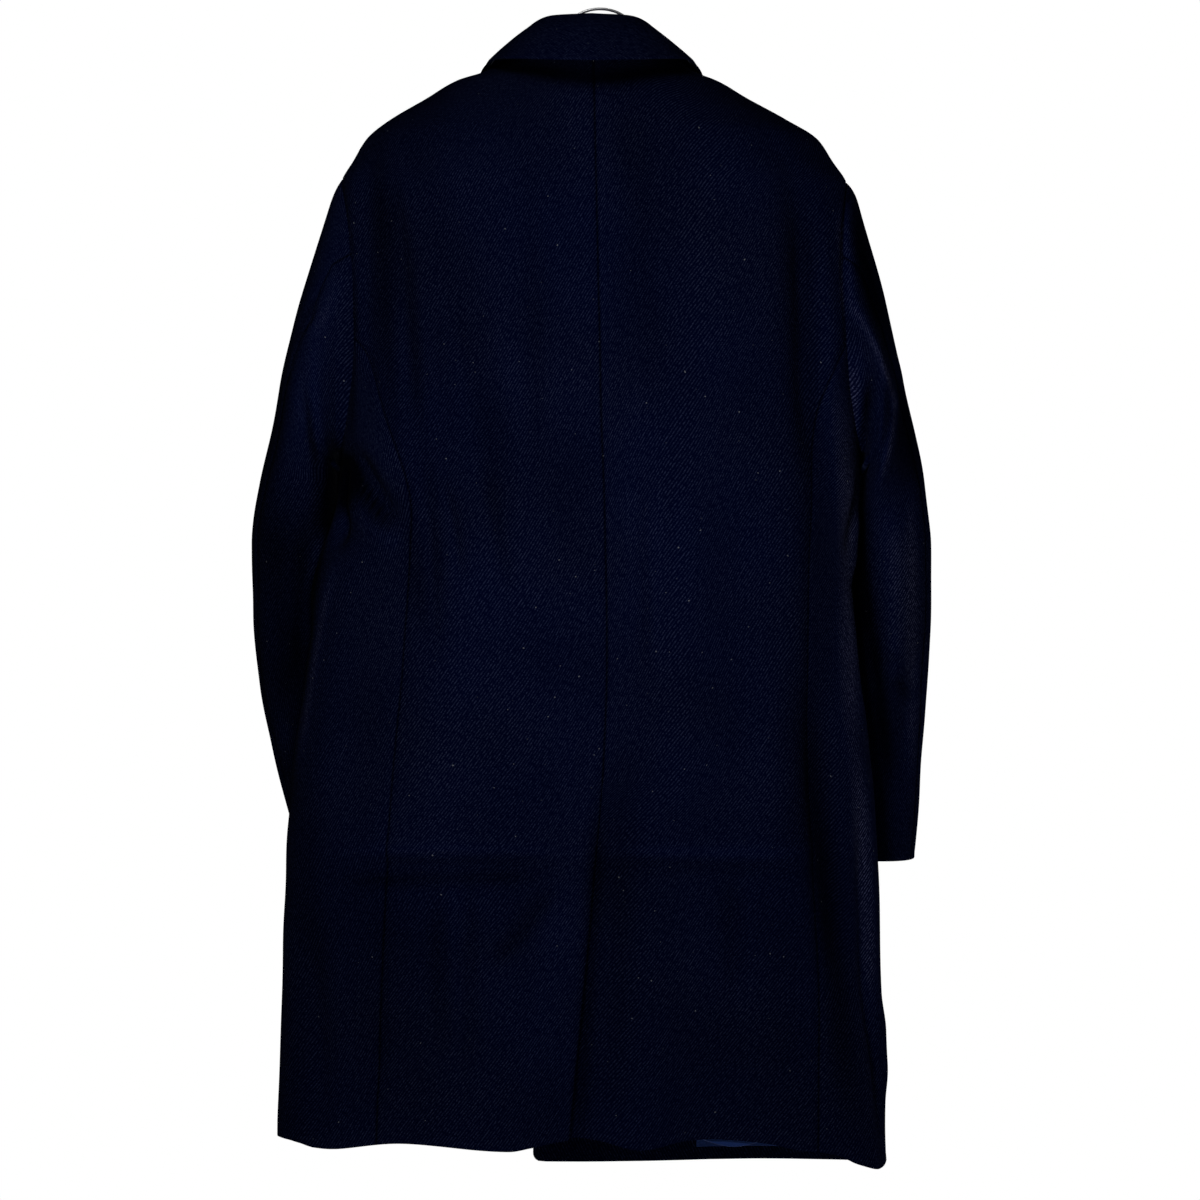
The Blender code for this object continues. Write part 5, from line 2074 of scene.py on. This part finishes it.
@dataclass
class Hanger:
    """A wooden hanger under the shoulders with a wire hook that the coat's weight hangs from."""

    cloth: BodyCloth
    wardrobe: Wardrobe
    thick: float = 0.016
    deep: float = 0.030
    taper: float = 0.35
    gap: float = 0.0019
    centre: float = -0.058
    arm: Pair = (-0.112, -0.051)
    arm_points: int = 40
    middle_points: int = 41
    sides: int = 40
    shoulder: float = 0.5
    square: float = 3.2
    end_from: float = 0.95
    end_least: float = 0.1
    wire: float = 0.0013
    half_width: float = 0.032
    half_height: float = 0.025
    hook_turn: Pair = (-90.0, 205.0)
    hook_points: int = 140
    hook_skip: int = 12
    foot_gap: float = 0.0010
    foot_short: float = 0.003
    tip_points: int = 7
    foot_points: int = 6
    wire_sides: int = 18

    def top_line(self) -> Array:
        """The line that the shoulders rest on, from the left end to the right end.

        Returns:
            Points in the plane Y = 0.
        """
        height = np.linspace(*self.arm, self.arm_points)
        inside = -self.cloth.wall - self.gap
        left, right = (self.cloth.points(side * self.shoulder, height, inside) for side in Side)
        share = np.linspace(0, 1, self.middle_points)[1:-1]
        (x0, _, z0), (x1, _, z1) = left[-1], right[-1]
        dip = (self.centre - (z0 + z1) / 2) * np.sin(share * math.pi) ** 2
        middle = joined(x0 + (x1 - x0) * share, 0.0, z0 + (z1 - z0) * share + dip)
        return np.concatenate([left, middle, right[::-1]]) * (1, 0, 1)

    def body(self) -> None:
        """Builds the wooden arms: a super-ellipse section carried along the line, rounded at both ends."""
        top = self.top_line()
        reach = np.abs(top[:, :1]) / np.abs(top[:, 0]).max()
        past = ((reach - self.end_from) / (1 - self.end_from)).clip(0, 1)
        end = np.sqrt(1 - past**2) * (1 - self.end_least) + self.end_least
        half_deep = self.deep * (1 - self.taper * reach) / 2
        turn = circle(self.sides)
        sine, cosine = np.sin(turn), np.cos(turn)
        size = super_size(sine, cosine, self.square)
        z = top[:, 2:] - half_deep + half_deep * end * sine * size
        rings = joined(top[:, :1], self.thick / 2 * end * cosine * size, z)
        caps = np.broadcast_to(rings[[0, -1]].mean(axis=1, keepdims=True), rings[:2].shape)
        rings = np.concatenate([caps[:1], rings, caps[1:]])
        self.wardrobe.tube("hanger_arms", rings, Slot.HANGER, "hanger_body")

    def hook(self) -> None:
        """Builds the hook: a round wire carried along a foot and an ellipse's arc, with a round tip."""
        turn = np.radians(np.linspace(*self.hook_turn, self.hook_points))[self.hook_skip :]
        x = self.half_width * np.cos(turn)
        z = self.wire + self.half_height * (np.sin(turn) - 1)
        foot = np.linspace(self.centre + self.foot_gap, z[0] - self.foot_short, self.foot_points)
        path = joined(np.concatenate([0 * foot, x]), np.concatenate([foot, z]))
        slope = unit(np.gradient(path, axis=0))
        past = np.linspace(0, 1, self.tip_points)
        radius = np.concatenate([[0.0], np.ones(len(path) - 1), np.sqrt(1 - past**2)])[:, None] * self.wire
        ends = path[-1] + slope[-1] * self.wire * past[1:, None]
        path = np.concatenate([path[:1], path, ends])
        slope = np.concatenate([slope[:1], slope, np.repeat(slope[-1:], len(ends), axis=0)])
        around = circle(self.wire_sides)
        x = path[:, :1] - slope[:, 1:] * radius * np.cos(around)
        z = path[:, 1:] + slope[:, :1] * radius * np.cos(around)
        rings = joined(x, radius * np.sin(around), z)
        self.wardrobe.tube("hanger_wire_hook", rings, Slot.HOOK, "hanger_hook")

    def build(self) -> None:
        """Builds the arms and the hook."""
        self.body()
        self.hook()


@dataclass
class Buttons:
    """Three front buttons with a rim, a dished middle and four holes."""

    panels: BodyPanels
    wardrobe: Wardrobe
    radius: float = 0.0115
    thick: float = 0.0042
    heights: tuple[float, ...] = (-0.395, -0.515, -0.635)
    hole_radius: float = 0.0011
    hole_place: float = 0.0024
    hole_depth: float = 0.55
    rim_width: float = 0.0022
    dish: float = 0.0011
    bevel: float = 0.30
    bevel_from: float = 0.86
    face_share: float = 0.94
    face_rings: int = 40
    rim_rings: int = 6
    rim_start: float = 0.9
    sides: int = 72
    pit_edge: Pair = (0.75, 1.1)
    under_bevel: float = 0.8

    def build(self) -> None:
        """Builds each button and its buttonhole."""
        cloth = self.panels.cloth
        for number, level in enumerate(self.heights, start=1):
            height = np.array([level])
            girth = cloth.girth_at_x(Side.LEFT, TORSO.at("centre_x", height), height, Face.FRONT)
            seat = cloth.points(girth, height, cloth.layer_gap)[0]
            facing = cloth.points(girth, height, 1.0)[0] - cloth.points(girth, height)[0]
            self.button(number, seat, facing)
            Stitching(self.wardrobe).buttonhole(f"coat_buttonhole_{number}", cloth, level)

    def button(self, number: int, seat: Array, facing: Array) -> None:
        """Builds one button: a turned profile whose face is pitted at the four holes, and its thread.

        Args:
            number: its number from the top.
            seat: the middle of its underside.
            facing: the way its face looks.
        """
        turn = circle(self.sides)
        rim = 1 - (1 - self.face_share) * np.linspace(self.rim_start, 0, self.rim_rings) ** 2
        face = np.linspace(0, self.face_share, self.face_rings)
        radius = self.radius * np.concatenate([face, rim])[:, None]
        x, y = radius * np.cos(turn), radius * np.sin(turn)
        bevel = self.thick * self.bevel * step(radius, self.radius * self.bevel_from, self.radius)
        rim_from = self.radius - self.rim_width
        dished = self.dish * (1 - step(radius, rim_from - self.rim_width, rim_from))
        spin = TAU / 8 + circle(4)
        hole_x, hole_y = np.cos(spin) * self.hole_place, np.sin(spin) * self.hole_place
        far = np.hypot(x[..., None] - hole_x, y[..., None] - hole_y).min(axis=-1)
        pit = 1 - step(far / self.hole_radius, *self.pit_edge)
        face = joined(x, y, self.thick - dished - bevel - self.thick * self.hole_depth * pit)
        local = np.concatenate([face, joined(x, y, bevel * self.under_bevel)[::-1]])
        side = unit(np.cross((0.0, 0.0, 1.0), facing))
        way = np.cross(facing, side)
        rings = seat + local @ np.stack([side, way, facing])
        self.wardrobe.tube(f"coat_button_{number}", rings, Slot.BUTTON, f"button_{number}")
        away = np.array((-1.0, 1.0))[:, None] * self.hole_place * math.sqrt(0.5)
        middle = seat + away * side + facing * (self.thick - self.dish)
        thread = Stitching(self.wardrobe, radius=self.hole_radius / 2)
        ways, outs = np.stack([way, way]), np.stack([facing, facing])
        thread.dashes(f"coat_button_thread_{number}", middle, ways, outs, self.hole_place * 2)


@dataclass(frozen=True)
class Lamp:
    """A square area light that the camera doesn't see: its place, its aim, its side and its watts."""

    name: str
    place: Triple
    aim: Triple
    size: float
    power: float
    tint: Colour = (1.0, 1.0, 1.0)

    def build(self) -> None:
        """Adds the light to the scene."""
        data = bpy.data.lights.new(self.name, "AREA")
        data.size = self.size
        data.energy = self.power
        data.color = self.tint
        lamp = bpy.data.objects.new(self.name, data)
        lamp.visible_camera = False
        lamp.location = self.place
        way = Vector(self.aim) - Vector(self.place)
        lamp.rotation_euler = way.to_track_quat("-Z", "Y").to_euler()
        bpy.context.scene.collection.objects.link(lamp)


@dataclass
class Studio:
    """A pale floor, soft light and a camera at the photograph's angle."""

    wardrobe: Wardrobe
    distance: float = 3.0
    eye: float = -0.5306
    frame_width: float = 1.08
    sensor: float = 36.0
    ambient: float = 0.045
    floor_level: float = -1.30
    floor_half: float = 1.2
    lamps: tuple[Lamp, ...] = (
        Lamp("key", (-0.08, -0.88, -0.40), (0.0, 0.0, -0.45), 0.22, 6.6),
        Lamp("top", (-0.25, -0.80, 0.65), (0.0, 0.0, -0.40), 0.4, 3.4),
        Lamp("side", (1.50, 0.60, -0.40), (0.25, 0.0, -0.50), 0.6, 7.0, (1.0, 0.92, 0.85)),
        Lamp("front", (0.4, 3.0, 0.30), (0.0, 0.0, -0.5), 1.2, 130.0),
    )

    def camera(self) -> None:
        """A level camera behind the coat whose frame is so wide at the hook's plane."""
        data = bpy.data.cameras.new("camera")
        data.sensor_width = self.sensor
        data.lens = self.sensor * self.distance / self.frame_width
        camera = bpy.data.objects.new("camera", data)
        camera.location = (0.0, -self.distance, self.eye)
        camera.rotation_euler = (math.pi / 2, 0.0, 0.0)
        bpy.context.scene.collection.objects.link(camera)
        bpy.context.scene.camera = camera

    def build(self) -> None:
        """Sets up the world, the lights, the floor and the camera."""
        scene = bpy.context.scene
        scene.view_settings.view_transform = "Standard"
        world = bpy.data.worlds.new("studio")
        world.use_nodes = True
        graph = Graph(world.node_tree)
        glow = graph.add("LightPath").other("Is Camera Ray").ramp(0.0, 1.0, self.ambient, 1.0)
        graph.fill(world.node_tree.nodes["Background"], {"Color": (1.0, 1.0, 1.0), "Strength": glow})
        scene.world = world
        for lamp in self.lamps:
            lamp.build()
        corners = np.array(((-1, -1), (1, -1), (1, 1), (-1, 1))) * self.floor_half
        points = np.c_[corners, np.full(4, self.floor_level)]
        new_mesh("floor", points, np.array([[0, 1, 2, 3]]), self.wardrobe.floor)
        self.camera()


def corners(box: Sequence) -> list[list[float]]:
    """A box as plain lists of numbers."""
    return [[float(value) for value in corner] for corner in box]


def main() -> None:
    """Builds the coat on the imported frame, then the studio around it."""
    logging.basicConfig(level=logging.INFO, format="%(message)s")
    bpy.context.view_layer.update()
    wardrobe = Wardrobe()
    cloth = BodyCloth()
    panels = BodyPanels(cloth, wardrobe)
    panels.build()
    Linings(panels, wardrobe).build()
    for side in Side:
        Sleeve(side, cloth, wardrobe).build()
    TurnDownCollar(panels, wardrobe).build()
    Buttons(panels, wardrobe).build()
    Hanger(BodyCloth(creased=False), wardrobe).build()
    Studio(wardrobe).build()


if __name__ == "__main__":
    main()
